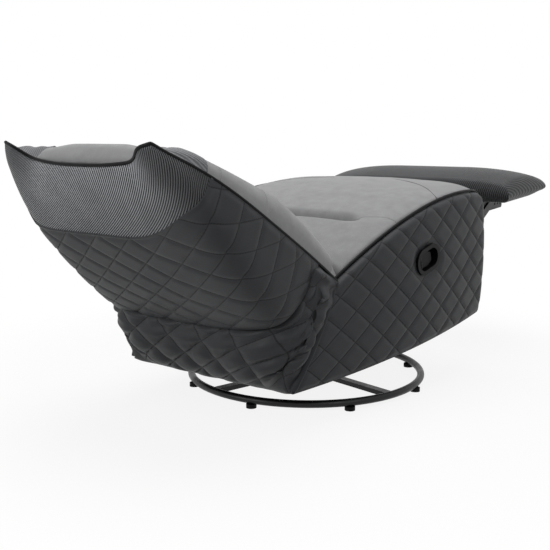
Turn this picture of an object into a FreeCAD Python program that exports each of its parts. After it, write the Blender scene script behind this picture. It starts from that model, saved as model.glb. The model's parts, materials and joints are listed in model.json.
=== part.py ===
import FreeCAD, Part
import math
import os
import Sketcher
from FreeCAD import Matrix, Placement, Rotation, Vector

# Gaming recliner, modelled as photographed: back laid down, footrest out, body leaning back on its
# swivel rocker. Millimetres; +Z up, the sitter faces -Y, the origin is on the floor on the swivel axis.
# "fwd" values are distances ahead of the swivel axis (towards -Y), "up" values heights over the floor.

SIZES = {
    # floor ring
    "ring_diameter": 650,
    "ring_tube": 19,
    "foot_count": 8,
    "foot_diameter": 26,
    "foot_height": 10,
    "base_turn": -11.6,
    "spoke_count": 4,
    "spoke_width": 22,
    "spoke_height": 12,
    "hub_tube_diameter": 46,
    "hub_flange_diameter": 150,
    "hub_flange_thickness": 6,
    # swivel
    "spindle_diameter": 30,
    "ball_diameter": 8,
    "ball_count": 14,
    "ball_circle": 104,
    "bearing_gap": 0.15,
    "cage_thickness": 3,
    "turntable_diameter": 190,
    "turntable_thickness": 6,
    "sleeve_diameter": 46,
    "sleeve_height": 30,
    "bush_wall": 3,
    "running_gap": 0.05,
    "spindle_nut_diameter": 44,
    "spindle_nut_height": 9,
    # rocker
    "rock_up": 122,
    "lean": 5,
    "axle_diameter": 16,
    "yoke_span": 160,
    "yoke_depth": 130,
    "yoke_wall": 6,
    "saddle_rise": 40,
    "saddle_wall": 6,
    "saddle_depth": 170,
    "saddle_gap": 1,
    "rock_spring_wire": 5,
    "rock_spring_diameter": 34,
    "rock_spring_turns": 5,
    "rock_spring_side": 48,
    "rock_spring_reach": 50,
    "cross_tube": 25,
    "cross_tube_spread": 130,
    # body outline, seen from the side
    "crook_fwd": -273,
    "crook_up": 331,
    "edge_mid_fwd": 41,
    "edge_mid_up": 472,
    "edge_front_fwd": 305,
    "edge_front_up": 508,
    "hem_rear_fwd": -405,
    "hem_rear_up": 92,
    "hem_mid_fwd": -34,
    "hem_mid_up": 121,
    "hem_front_fwd": 383,
    "hem_front_up": 165,
    "front_fwd": 404,
    "front_top_round": 62,
    "front_low_round": 34,
    # body half widths, seen from above
    "half_rear": 254,
    "half_mid": 312,
    "half_mid_fwd": -100,
    "half_front": 335,
    "cover_thickness": 22,
    "cover_bulge": 9,
    "cover_edge_draw": 5,
    "soft_gap": 0.4,
    # timber box
    "rail_inner_half": 232,
    "rail_thickness": 18,
    "deck_rear_fwd": -252,
    "deck_rear_up": 288,
    "deck_front_fwd": 335,
    "deck_front_up": 433,
    "cross_rail_thickness": 20,
    "front_rail_depth": 40,
    "rear_rail_depth": 62,
    "rail_drop": 122,
    "rail_belly_up": 176,
    "rail_nose_fwd": 372,
    "rail_under_deck": 2,
    "rail_tail_gap": 12,
    "rail_belly_half": 160,
    "rail_corner_round": 10,
    # seat
    "seat_spring_wire": 4,
    "seat_spring_count": 4,
    "seat_spring_pitch": 105,
    "seat_spring_bends": 13,
    "seat_spring_width": 44,
    "cushion_lift": 7,
    "seat_crown": 20,
    "tuck_fwd": -70,
    "tuck_depth": 34,
    "tuck_round": 46,
    "seat_rear_fwd": -246,
    "seat_rear_round": 30,
    "seat_nose_gap": 10,
    # rear apron
    "apron_thickness": 9,
    "apron_hem_up": 80,
    "apron_hem_fwd": -352,
    "apron_corner_round": 46,
    "apron_flare": 0.5,
    "apron_middle_flare": 0.62,
    "apron_puff": 12,
    "apron_gap": 2,
    # backrest, in its own frame: u up the back from the crook, n towards the sitter
    "back_angle": 31.2,
    "back_length": 602,
    "shell_start": 100,
    "back_half_low": 286,
    "back_half_mid": 297,
    "back_half_mid_at": 215,
    "back_half_top": 217,
    "shell_depth_low": 186,
    "shell_depth_mid": 112,
    "shell_depth_mid_at": 393,
    "shell_depth_top": 16,
    "shell_wall": 12,
    "shell_corner_round": 52,
    "shell_hem_round": 1000,
    "wing_sweep": 3.4,
    "wing_dip": 40,
    "hood_seam_fwd": -672,
    "back_start": 40,
    "lumbar_end": 322,
    "shoulder_end": 462,
    "headrest_gap": 46,
    "bolster_side": 235,
    "bolster_low": 60,
    "bolster_low_at": 35,
    "bolster_mid": 77,
    "bolster_mid_at": 230,
    "bolster_top": 28,
    "bolster_top_at": 560,
    "back_fill": 0.72,
    "headrest_fill": 1.06,
    "back_tuck_depth": 30,
    "back_end_round": 44,
    "cushion_seat": 12,
    "cushion_ease": 9,
    "post_width": 30,
    "post_depth": 28,
    "post_front": 16,
    "post_start": 50,
    "post_top_gap": 140,
    "rail_width": 30,
    "lower_rail_at": 62,
    "web_count": 5,
    "web_width": 50,
    "web_thickness": 2,
    # backrest hinge
    "hinge_fwd": -270,
    "hinge_up": 348,
    "hinge_pin": 12,
    "bracket_reach": 140,
    # footrest linkage, layered inwards from the mechanism plates
    "plate_thickness": 4,
    "link_thickness": 4,
    "layer_gap": 1,
    "link_width": 24,
    "link_pin": 8,
    "slack_guide": 6.8,
    "slack_steer": 6.8,
    "drive_tube": 25,
    "drive_tube_wall": 2,
    "drive_fwd": 300,
    "drive_up": 372,
    "drive_length": 205,
    "lift_length": 205,
    "lift_tail": 30,
    "guide_fwd": 273.6,
    "guide_up": 334.9,
    "guide_pin": 8,
    "steer_offset": 40,
    "steer_root": 44.8,
    "eye_wall": 5,
    "drive_open": -9.6,
    "drive_shut": -77,
    "lift_open": 29.8,
    "lift_shut": 77,
    "rest_open": 3.5,
    "rest_shut": -90,
    # footrest
    "bracket_rear": -62,
    "bracket_front": 104,
    "bracket_height": 32,
    "bracket_rise": 26,
    "bracket_tab": 34,
    "bracket_hole": 7,
    "bracket_hole_pitch": 20,
    "board_rear": -100,
    "board_front": 160,
    "board_thickness": 15,
    "board_half": 290,
    "pad_rear": -117,
    "pad_front": 178,
    "pad_half": 336,
    "pad_end_round": 95,
    "pad_depth": 72,
    "pad_rear_depth": 44,
    "pad_nose_depth": 30,
    # release handle in its cup
    "handle_fwd": 59,
    "handle_up": 351,
    "handle_tilt": 16,
    "cup_length": 90,
    "cup_height": 54,
    "cup_depth": 28,
    "cup_wall": 3.5,
    "cup_rim": 7,
    "cup_rim_thickness": 5,
    "rim_bite": 1,
    "paddle_length": 48,
    "paddle_gap": 3,
    "paddle_thickness": 8,
    "paddle_sunk": 4,
    "handle_pin": 5,
    "cable_diameter": 6,
    # trim
    "piping_diameter": 8,
    "piping_lift": 1.2,
}

DOC = FreeCAD.newDocument("gaming_recliner")
SHEET = DOC.addObject("Spreadsheet::Sheet", "Sizes")
NODES = {}
MIDDLE = Vector(0, 0, 0)
ALONG_X = Rotation(Vector(0, 1, 0), 90)
X_AXIS = Vector(1, 0, 0)
FAR = 2000.0


def fill_sheet():
    """Write every driving size into the spreadsheet under its own alias."""
    for row, (alias, value) in enumerate(SIZES.items(), start=1):
        SHEET.set("A%d" % row, alias.replace("_", " "))
        SHEET.set("B%d" % row, str(value))
        SHEET.setAlias("B%d" % row, alias)
    DOC.recompute()


class SheetValues:
    """Reads a driving size from the spreadsheet as a plain number."""

    def __getattr__(self, alias):
        return float(SHEET.get(alias))


S = SheetValues()


def formula(text):
    """Sheet formula with @name standing for a cell of the spreadsheet."""
    return text.replace("@", "Sizes.")


def node(label, item):
    """Register a document object as a sub-part of the chair."""
    item.Label = label
    NODES[label] = item
    return item


def primitive(kind, name, place=("0", "0", "0"), turn=None, **sizes):
    """Part primitive whose sizes and corner follow sheet formulas."""
    item = DOC.addObject("Part::" + kind, name)
    if turn is not None:
        item.Placement = Placement(MIDDLE, turn)
    for prop, text in sizes.items():
        item.setExpression(prop, formula(text))
    for axis, text in zip("xyz", place):
        item.setExpression("Placement.Base." + axis, formula(text))
    return item


def feature(label, shape, placement=None):
    """Sub-part whose shape is worked out from the sheet."""
    item = DOC.addObject("Part::Feature", label)
    item.Shape = shape
    if placement is not None:
        item.Placement = placement
    return node(label, item)


def mirrored(label, source):
    """The same piece on the sitter's other side."""
    item = DOC.addObject("Part::Mirroring", label)
    item.Source = source
    item.Base = MIDDLE
    item.Normal = X_AXIS
    return node(label, item)


def boolean(kind, name, base, tool):
    """Part boolean of two document objects."""
    item = DOC.addObject("Part::" + kind, name)
    item.Base = base
    item.Tool = tool
    return item


def tube(name, inner, outer, height, place, turn=None):
    """Plain tube of two cylinders."""
    full = primitive("Cylinder", name + "_outside", place, turn, Radius=outer, Height=height)
    hole = primitive("Cylinder", name + "_inside", place, turn, Radius=inner, Height=height)
    return boolean("Cut", name, full, hole)


def compound(name, items):
    """Group of separate like solids."""
    item = DOC.addObject("Part::Compound", name)
    item.Links = items
    return item


# Drawing helpers

def line(a, b):
    return Part.LineSegment(a, b).toShape()


def arc(a, middle, b):
    return Part.Arc(a, middle, b).toShape()


def side_point(fwd, up, side=0.0):
    """Point from its place in the side view and its distance from the middle plane."""
    return Vector(side, -fwd, up)


def parabola(a, b, c):
    """Curve value = f(place) through three (place, value) points."""
    slope_ab = (b[1] - a[1]) / (b[0] - a[0])
    slope_bc = (c[1] - b[1]) / (c[0] - b[0])
    bend = (slope_bc - slope_ab) / (c[0] - a[0])
    return lambda at: a[1] + slope_ab * (at - a[0]) + bend * (at - a[0]) * (at - b[0])


def corner_drop(gap, radius):
    """Fall of a rounded corner at a distance from the end face."""
    reach = min(max(radius - gap, 0.0), radius)
    return radius - math.sqrt(radius ** 2 - reach ** 2)


def corner_arc(before, corner, after, radius):
    """Start, middle and end of the tangent arc that rounds one corner."""
    back = (before - corner).normalize()
    ahead = (after - corner).normalize()
    turn = math.pi - back.getAngle(ahead)
    reach = radius * math.tan(turn / 2)
    bisector = (back + ahead).normalize()
    middle = corner + bisector * (radius / math.cos(turn / 2) - radius)
    return corner + back * reach, middle, corner + ahead * reach


def rounded_path(points, radius):
    """Straight runs joined by tangent arcs; each arc is cut down to what its runs allow."""
    edges = []
    start = points[0]
    for before, corner, after in zip(points, points[1:], points[2:]):
        shorter = min((corner - before).Length, (after - corner).Length)
        turn = math.pi - (before - corner).getAngle(after - corner)
        fitting = min(radius, 0.45 * shorter / math.tan(turn / 2))
        first, middle, last = corner_arc(before, corner, after, fitting)
        edges += [line(start, first), arc(first, middle, last)]
        start = last
    edges.append(line(start, points[-1]))
    return Part.Wire(edges)


def rounded_face(points, radius):
    """Flat face whose outline has every corner rounded."""
    corners = []
    count = len(points)
    for index, corner in enumerate(points):
        before = points[index - 1]
        after = points[(index + 1) % count]
        corners.append(corner_arc(before, corner, after, radius))
    edges = []
    for index, (first, middle, last) in enumerate(corners):
        edges += [arc(first, middle, last), line(last, corners[(index + 1) % count][0])]
    return Part.Face(Part.Wire(edges))


def polygon_prism(points, direction):
    """Prism of a straight-sided outline."""
    return Part.Face(Part.makePolygon(points + points[:1])).extrude(direction)


def cord(path, diameter):
    """Round cord along a wire."""
    first = path.Edges[0]
    ring = Part.makeCircle(diameter / 2, first.Vertexes[0].Point, first.tangentAt(first.FirstParameter))
    return path.makePipeShell([Part.Wire([ring])], True, False)


def box_between(low, high):
    """Upright box between two corners."""
    return Part.makeBox(high.x - low.x, high.y - low.y, high.z - low.z, low)


def loft(sections):
    return Part.makeLoft(sections, True, False)


def sketch_on(body, role, name):
    """Sketch on one of its own body's origin planes."""
    sketch = body.newObject("Sketcher::SketchObject", name)
    plane = [item for item in body.Origin.OriginFeatures if item.Role == role][0]
    sketch.AttachmentSupport = [(plane, "")]
    sketch.MapMode = "FlatFace"
    return sketch


def evaluate(text):
    """Present value of a sheet formula."""
    return float(SHEET.evalExpression(text.replace("@", "")))


def turned_body(label, profile):
    """Turned piece: a closed profile of (radius, height) formulas, revolved about Z."""
    body = DOC.addObject("PartDesign::Body", label)
    sketch = sketch_on(body, "XZ_Plane", label + "_profile")
    count = len(profile)
    corners = []
    for radius, height in profile:
        corners.append((evaluate(radius), evaluate(height)))
    for index, (radius, height) in enumerate(corners):
        after = corners[(index + 1) % count]
        sketch.addGeometry(Part.LineSegment(Vector(radius, height, 0), Vector(after[0], after[1], 0)))
    for index in range(count):
        sketch.addConstraint(Sketcher.Constraint("Coincident", index, 2, (index + 1) % count, 1))
    for index, texts in enumerate(profile):
        for kind, text, value in zip(("DistanceX", "DistanceY"), texts, corners[index]):
            place = sketch.addConstraint(Sketcher.Constraint(kind, -1, 1, index, 1, value))
            sketch.setExpression("Constraints[%d]" % place, formula(text))
    turn = body.newObject("PartDesign::Revolution", label + "_turn")
    turn.Profile = sketch
    turn.ReferenceAxis = (sketch, ["V_Axis"])
    turn.Angle = 360
    return node(label, body)


def hull_link(label, length, near, far, holes=(), pins=()):
    """Flat link: two round eyes joined by straight flanks, then drilled, then pinned."""
    body = DOC.addObject("PartDesign::Body", label)
    outline = sketch_on(body, "XY_Plane", label + "_outline")
    reach, near_r, far_r = evaluate(length), evaluate(near), evaluate(far)
    lean = math.acos((near_r - far_r) / reach)
    cos_l, sin_l = math.cos(lean), math.sin(lean)
    flat = Vector(0, 0, 1)
    near_circle = Part.Circle(Vector(0, 0, 0), flat, near_r)
    far_circle = Part.Circle(Vector(reach, 0, 0), flat, far_r)
    outline.addGeometry(Part.ArcOfCircle(near_circle, lean, 2 * math.pi - lean))
    outline.addGeometry(Part.ArcOfCircle(far_circle, -lean, lean))
    for side in (1, -1):
        start = Vector(near_r * cos_l, side * near_r * sin_l, 0)
        end = Vector(reach + far_r * cos_l, side * far_r * sin_l, 0)
        outline.addGeometry(Part.LineSegment(start, end))
    for first, first_end, second, second_end in ((0, 1, 2, 1), (0, 2, 3, 1), (1, 2, 2, 2), (1, 1, 3, 2)):
        outline.addConstraint(Sketcher.Constraint("Tangent", first, first_end, second, second_end))
    outline.addConstraint(Sketcher.Constraint("Coincident", 0, 3, -1, 1))
    outline.addConstraint(Sketcher.Constraint("PointOnObject", 1, 3, -1))
    sized = [("DistanceX", (-1, 1, 1, 3), length), ("Radius", (0,), near), ("Radius", (1,), far)]
    for kind, where, text in sized:
        place = outline.addConstraint(Sketcher.Constraint(kind, *where, evaluate(text)))
        outline.setExpression("Constraints[%d]" % place, formula(text))
    pad = body.newObject("PartDesign::Pad", label + "_plate")
    pad.Profile = outline
    pad.setExpression("Length", formula("@link_thickness"))
    for index, (along, radius) in enumerate(holes):
        drill = round_sketch(body, "%s_hole_%d" % (label, index), along, radius)
        pocket = body.newObject("PartDesign::Pocket", "%s_drill_%d" % (label, index))
        pocket.Profile = drill
        pocket.Type = "ThroughAll"
        pocket.Midplane = True
    for index, (along, radius, depth) in enumerate(pins):
        spot = round_sketch(body, "%s_spot_%d" % (label, index), along, radius)
        pin = body.newObject("PartDesign::Pad", "%s_pin_%d" % (label, index))
        pin.Profile = spot
        pin.Reversed = True
        pin.setExpression("Length", formula(depth))
    return node(label, body)


def round_sketch(body, name, along, radius):
    """Circle on the link's centre line."""
    sketch = sketch_on(body, "XY_Plane", name)
    sketch.addGeometry(Part.Circle(Vector(evaluate(along), 0, 0), Vector(0, 0, 1), evaluate(radius)))
    if along == "0":
        sketch.addConstraint(Sketcher.Constraint("Coincident", 0, 3, -1, 1))
    else:
        sketch.addConstraint(Sketcher.Constraint("PointOnObject", 0, 3, -1))
        place = sketch.addConstraint(Sketcher.Constraint("DistanceX", -1, 1, 0, 3, evaluate(along)))
        sketch.setExpression("Constraints[%d]" % place, formula(along))
    place = sketch.addConstraint(Sketcher.Constraint("Radius", 0, evaluate(radius)))
    sketch.setExpression("Constraints[%d]" % place, formula(radius))
    return sketch


def frame_of(along, across, out, at):
    """Placement whose own axes lie on three given directions."""
    return Placement(Matrix(along.x, across.x, out.x, at.x,
                            along.y, across.y, out.y, at.y,
                            along.z, across.z, out.z, at.z,
                            0, 0, 0, 1))


def link_place(pivot, angle, side):
    """Lay a link along its angle above the forward horizontal, its inner face at a side distance."""
    turn = math.radians(angle)
    along = side_point(math.cos(turn), math.sin(turn))
    return frame_of(along, X_AXIS.cross(along), X_AXIS, pivot + X_AXIS * side)


def polar(fwd_up, length, angle):
    """Side-view point at a distance and angle from another."""
    turn = math.radians(angle)
    return (fwd_up[0] + length * math.cos(turn), fwd_up[1] + length * math.sin(turn))


def span(a, b):
    """Distance and angle between two side-view points."""
    return math.hypot(b[0] - a[0], b[1] - a[1]), math.degrees(math.atan2(b[1] - a[1], b[0] - a[0]))


def derived(alias, value):
    """Cell for a length that follows from the others."""
    row = len(SIZES) + 2 + len(DERIVED)
    DERIVED.append(alias)
    SHEET.set("A%d" % row, alias.replace("_", " "))
    SHEET.set("B%d" % row, repr(round(value, 6)))
    SHEET.setAlias("B%d" % row, alias)
    DOC.recompute()


DERIVED = []
fill_sheet()

# Body outline curves: every one is a function of the distance ahead of the swivel axis
seat_edge = parabola((S.crook_fwd, S.crook_up), (S.edge_mid_fwd, S.edge_mid_up),
                     (S.edge_front_fwd, S.edge_front_up))
hem = parabola((S.hem_rear_fwd, S.hem_rear_up), (S.hem_mid_fwd, S.hem_mid_up),
               (S.hem_front_fwd, S.hem_front_up))
body_half = parabola((S.hem_rear_fwd, S.half_rear), (S.half_mid_fwd, S.half_mid),
                     (S.edge_front_fwd, S.half_front))


def deck(fwd):
    """Height of the spring deck line, rear rail to front rail."""
    slope = (S.deck_front_up - S.deck_rear_up) / (S.deck_front_fwd - S.deck_rear_fwd)
    return S.deck_rear_up + slope * (fwd - S.deck_rear_fwd)


# Floor ring: bent tube, four spokes coped to it, eight glides
RING_UP = "(@foot_height + @ring_tube / 2)"
RING_REACH = "((@ring_diameter - @ring_tube) / 2)"
FLANGE_UP = "(" + RING_UP + " + @spoke_height / 2)"
BALL_UP = "(" + FLANGE_UP + " + @hub_flange_thickness + @ball_diameter / 2)"
DISC_UP = "(" + BALL_UP + " + @ball_diameter / 2 + @bearing_gap)"
SLEEVE_UP = "(" + DISC_UP + " + @turntable_thickness + @sleeve_height)"
YOKE_UP = "(" + DISC_UP + " + @turntable_thickness)"


def around(count, index, offset="0"):
    """Angle formula of one of several pieces spaced evenly round the base."""
    return "((@base_turn + (%d + %s) * 360 / @%s) * 1 deg)" % (index, offset, count)


ring = node("base_ring", primitive("Torus", "base_ring", ("0", "0", RING_UP),
                                   Radius1=RING_REACH, Radius2="@ring_tube / 2"))
feet = []
for index in range(int(S.foot_count)):
    angle = around("foot_count", index, "0.5")
    place = (RING_REACH + " * cos" + angle, RING_REACH + " * sin" + angle, "0")
    feet.append(primitive("Cylinder", "foot_%d" % index, place,
                          Radius="@foot_diameter / 2", Height="@foot_height"))
node("glide_feet", compound("glide_feet", feet))

spokes = []
for index in range(int(S.spoke_count)):
    bar = DOC.addObject("Part::Box", "spoke_bar_%d" % index)
    bar.setExpression("Length", formula(RING_REACH + " - @hub_tube_diameter * 0.4"))
    bar.setExpression("Width", formula("@spoke_width"))
    bar.setExpression("Height", formula("@spoke_height"))
    turn = Placement(MIDDLE, Rotation(Vector(0, 0, 1), S.base_turn + index * 360 / S.spoke_count))
    corner = Vector(S.hub_tube_diameter * 0.4, -S.spoke_width / 2, evaluate(RING_UP) - S.spoke_height / 2)
    bar.Placement = turn.multiply(Placement(corner, Rotation()))
    spokes.append(bar)
cope = primitive("Torus", "spoke_cope", ("0", "0", RING_UP), Radius1=RING_REACH, Radius2="@ring_tube / 2")
socket = primitive("Cylinder", "spoke_socket", Radius="@hub_tube_diameter / 2", Height="@rock_up")
coping = DOC.addObject("Part::MultiFuse", "spoke_coping")
coping.Shapes = [cope, socket]
node("base_spokes", boolean("Cut", "base_spokes", compound("spoke_bars", spokes), coping))

SPOKE_LOW = "(" + RING_UP + " - @spoke_height / 2)"
turned_body("base_hub", [
    ("@spindle_diameter / 2", SPOKE_LOW),
    ("@hub_tube_diameter / 2", SPOKE_LOW),
    ("@hub_tube_diameter / 2", FLANGE_UP),
    ("@hub_flange_diameter / 2", FLANGE_UP),
    ("@hub_flange_diameter / 2", FLANGE_UP + " + @hub_flange_thickness"),
    ("@spindle_diameter / 2", FLANGE_UP + " + @hub_flange_thickness"),
])
NUT_UP = "(" + SLEEVE_UP + " + @bearing_gap)"
node("swivel_spindle", primitive("Cylinder", "swivel_spindle", ("0", "0", SPOKE_LOW),
                                 Radius="@spindle_diameter / 2",
                                 Height=NUT_UP + " + @spindle_nut_height + 3 - " + SPOKE_LOW))
turned_body("spindle_nut", [
    ("@spindle_diameter / 2", NUT_UP),
    ("@spindle_nut_diameter / 2", NUT_UP),
    ("@spindle_nut_diameter / 2", NUT_UP + " + @spindle_nut_height"),
    ("@spindle_diameter / 2", NUT_UP + " + @spindle_nut_height"),
])

# Swivel: ball ring in a cage under the turntable, whose sleeve turns on the spindle in a bush
balls = []
pockets = []
for index in range(int(S.ball_count)):
    angle = "(%d * 360 deg / @ball_count)" % index
    place = ("@ball_circle / 2 * cos" + angle, "@ball_circle / 2 * sin" + angle, BALL_UP)
    balls.append(primitive("Sphere", "ball_%d" % index, place, Radius="@ball_diameter / 2"))
    pocket_place = place[:2] + (FLANGE_UP,)
    pockets.append(primitive("Cylinder", "ball_pocket_%d" % index, pocket_place,
                             Radius="@ball_diameter / 2 + @running_gap", Height="@ball_diameter * 3"))
node("bearing_balls", compound("bearing_balls", balls))
cage_blank = tube("cage_blank", "@ball_circle / 2 - @ball_diameter", "@ball_circle / 2 + @ball_diameter",
                  "@cage_thickness", ("0", "0", BALL_UP + " - @cage_thickness / 2"))
cage_pockets = DOC.addObject("Part::MultiFuse", "cage_pockets")
cage_pockets.Shapes = pockets
node("bearing_cage", boolean("Cut", "bearing_cage", cage_blank, cage_pockets))
BUSH_IN = "@spindle_diameter / 2 + @running_gap"
BUSH_OUT = BUSH_IN + " + @bush_wall"
turned_body("turntable_plate", [
    (BUSH_OUT, DISC_UP),
    ("@turntable_diameter / 2", DISC_UP),
    ("@turntable_diameter / 2", YOKE_UP),
    ("@sleeve_diameter / 2", YOKE_UP),
    ("@sleeve_diameter / 2", SLEEVE_UP),
    (BUSH_OUT, SLEEVE_UP),
])
turned_body("swivel_bush", [
    (BUSH_IN, DISC_UP),
    (BUSH_OUT, DISC_UP),
    (BUSH_OUT, SLEEVE_UP),
    (BUSH_IN, SLEEVE_UP),
])

# Rocker: yoke on the turntable, axle through its ears, saddle under the seat, four coil springs
rock_axis = Vector(0, 0, S.rock_up)
lean_place = Placement(MIDDLE, Rotation(X_AXIS, -S.lean), rock_axis)


def ear_plate(inner, wall, low, wide, hole):
    """Ear that tapers up or down to a round eye on the rocker axle, on both sides of the chair."""
    eye = S.axle_diameter
    rise = S.rock_up - low
    lean = math.asin(min(1.0, eye / rise))
    outline = [Vector(0, -wide / 2, low), Vector(0, wide / 2, low),
               Vector(0, eye * math.cos(lean), S.rock_up), Vector(0, -eye * math.cos(lean), S.rock_up)]
    blank = polygon_prism(outline, X_AXIS * wall)
    blank = blank.fuse(Part.makeCylinder(eye, wall, Vector(0, 0, S.rock_up), X_AXIS))
    blank = blank.cut(Part.makeCylinder(hole, wall, Vector(0, 0, S.rock_up), X_AXIS)).removeSplitter()
    right = blank.copy()
    blank.translate(X_AXIS * inner)
    right.translate(X_AXIS * (-inner - wall))
    return [blank, right]


yoke_up = evaluate(YOKE_UP)
yoke_half = S.yoke_span / 2
yoke_floor = box_between(Vector(-yoke_half, -S.yoke_depth / 2, yoke_up),
                         Vector(yoke_half, S.yoke_depth / 2, yoke_up + S.yoke_wall))
yoke_floor = yoke_floor.cut(Part.makeCylinder(S.sleeve_diameter / 2, FAR, MIDDLE))
yoke_ears = ear_plate(yoke_half - S.yoke_wall, S.yoke_wall, yoke_up, S.yoke_depth * 0.7,
                      S.axle_diameter / 2 + S.running_gap)
feature("rocker_yoke", yoke_floor.fuse(yoke_ears).removeSplitter())

saddle_inner = yoke_half + S.saddle_gap
saddle_half = saddle_inner + S.saddle_wall
saddle_low = S.rock_up + S.saddle_rise
saddle_top = saddle_low + S.saddle_wall
saddle_floor = box_between(Vector(-saddle_half, -S.saddle_depth / 2, saddle_low),
                           Vector(saddle_half, S.saddle_depth / 2, saddle_top))
saddle_ears = ear_plate(saddle_inner, S.saddle_wall, saddle_top, S.saddle_depth * 0.7, S.axle_diameter / 2)
feature("rocker_saddle", saddle_floor.fuse(saddle_ears).removeSplitter(), lean_place)
axle_half = "(@yoke_span / 2 + @saddle_gap + @saddle_wall + 4)"
node("rocker_axle", primitive("Cylinder", "rocker_axle", ("-" + axle_half, "0", "@rock_up"), ALONG_X,
                              Radius="@axle_diameter / 2", Height="2 * " + axle_half))


def rock_springs(label, rear):
    """Pair of coil springs between the yoke floor and the leaned saddle."""
    coils = []
    low = yoke_up + S.yoke_wall + S.rock_spring_wire / 2 + S.soft_gap
    under = lean_place.multVec(Vector(0, rear * S.rock_spring_reach, saddle_low))
    height = under.z - S.rock_spring_wire / 2 - 2 - low
    for side in (-1, 1):
        pitch = height / S.rock_spring_turns
        helix = Part.makeHelix(pitch, height, S.rock_spring_diameter / 2)
        helix.translate(Vector(side * S.rock_spring_side, rear * S.rock_spring_reach, low))
        first = helix.Edges[0]
        ring_wire = Part.makeCircle(S.rock_spring_wire / 2, first.Vertexes[0].Point,
                                    first.tangentAt(first.FirstParameter))
        coils.append(Part.Wire(helix.Edges).makePipeShell([Part.Wire([ring_wire])], True, True))
    print(label, "gap between curls", round(height / S.rock_spring_turns - S.rock_spring_wire, 2))
    feature(label, Part.makeCompound(coils))


rock_springs("rocker_springs_front", -1)
rock_springs("rocker_springs_rear", 1)

tube_half = S.rail_inner_half - S.plate_thickness
tubes = []
for side in (-1, 1):
    low = Vector(-tube_half, side * S.cross_tube_spread / 2 - S.cross_tube / 2, saddle_top)
    outer = box_between(low, low + Vector(2 * tube_half, S.cross_tube, S.cross_tube))
    wall = Vector(0, S.drive_tube_wall, S.drive_tube_wall)
    inner = box_between(low + wall, low + Vector(2 * tube_half, S.cross_tube, S.cross_tube) - wall)
    tubes.append(outer.cut(inner))
feature("frame_tubes", Part.makeCompound(tubes), lean_place)

# Timber box
def rail_shape():
    """Side rail: its top follows the spring deck, its belly rises to the nose."""
    tail, nose = S.crook_fwd + S.rail_tail_gap, S.rail_nose_fwd
    belly = S.rail_belly_up
    outline = [(tail, deck(tail) - S.rail_under_deck), (nose, deck(nose) - S.rail_under_deck),
               (nose, deck(nose) - S.rail_drop), (S.rail_belly_half, belly + 2 * S.rail_corner_round),
               (-S.rail_belly_half, belly), (tail, belly + 3 * S.rail_corner_round)]
    points = [side_point(fwd, up, S.rail_inner_half) for fwd, up in outline]
    face = rounded_face(points, S.rail_corner_round)
    return face.extrude(X_AXIS * S.rail_thickness)


left_rail = feature("side_rail_left", rail_shape())
mirrored("side_rail_right", left_rail)


def cross_rail(label, fwd, half, depth):
    """Rail across the seat box, its rear top edge on the spring deck."""
    low_fwd = fwd - S.cross_rail_thickness / 2
    top = deck(low_fwd)
    shape = box_between(Vector(-half, -fwd - S.cross_rail_thickness / 2, top - depth),
                        Vector(half, -low_fwd, top))
    feature(label, shape)


cross_rail("front_rail", S.deck_front_fwd, S.rail_inner_half, S.front_rail_depth)
cross_rail("rear_rail", S.deck_rear_fwd, tube_half, S.rear_rail_depth)

zigzags = []
lift = S.seat_spring_wire / 2 + S.soft_gap / 2
for index in range(int(S.seat_spring_count)):
    middle = (index - (S.seat_spring_count - 1) / 2) * S.seat_spring_pitch
    points = [side_point(S.deck_rear_fwd, deck(S.deck_rear_fwd) + lift, middle)]
    step = (S.deck_front_fwd - S.deck_rear_fwd) / (S.seat_spring_bends + 1)
    for bend in range(int(S.seat_spring_bends)):
        fwd = S.deck_rear_fwd + (bend + 1) * step
        swing = S.seat_spring_width / 2 * (1 if bend % 2 else -1)
        points.append(side_point(fwd, deck(fwd) + lift, middle + swing))
    points.append(side_point(S.deck_front_fwd, deck(S.deck_front_fwd) + lift, middle))
    zigzags.append(cord(rounded_path(points, 14), S.seat_spring_wire))
feature("seat_springs", Part.makeCompound(zigzags))

# Mechanism plates and the pins they carry
drive_pivot = (S.drive_fwd, S.drive_up)
guide_pivot = (S.guide_fwd, S.guide_up)
hinge_pivot = (S.hinge_fwd, S.hinge_up)
pin_r = S.link_pin / 2


def plate_shape():
    """Mechanism plate: carries the backrest hinge, the drive tube, the guide pivot and the cross tubes."""
    arm = S.hinge_pin * 1.6
    foot = S.cross_tube_spread / 2 + S.cross_tube
    heel = S.seat_rear_fwd - 3
    outline = [(hinge_pivot[0] - arm, hinge_pivot[1] + arm), (heel, hinge_pivot[1] + arm),
               (heel, deck(heel) - 4), (S.drive_fwd - 20, deck(S.drive_fwd - 20) - 8),
               (S.drive_fwd + 22, S.drive_up + 22), (S.drive_fwd + 22, S.drive_up - 22),
               (S.guide_fwd + 15, S.guide_up - 20), (foot, S.rock_up + S.saddle_rise - 4),
               (-foot, S.rock_up + S.saddle_rise - 14), (hinge_pivot[0] - arm, deck(heel) - 40)]
    face = rounded_face([side_point(fwd, up, tube_half) for fwd, up in outline], 8)
    plate = face.extrude(X_AXIS * S.plate_thickness)
    holes = [(drive_pivot, S.drive_tube / 2 + S.running_gap), (guide_pivot, S.guide_pin / 2),
             (hinge_pivot, S.hinge_pin / 2)]
    for place, radius in holes:
        plate = plate.cut(Part.makeCylinder(radius, FAR, side_point(*place), X_AXIS))
    return plate


left_plate = feature("mechanism_plate_left", plate_shape())
mirrored("mechanism_plate_right", left_plate)


def layer(index):
    """Side distance of the inner face of a link layer, counted inwards from the plates."""
    return tube_half - index * (S.layer_gap + S.link_thickness)


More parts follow.
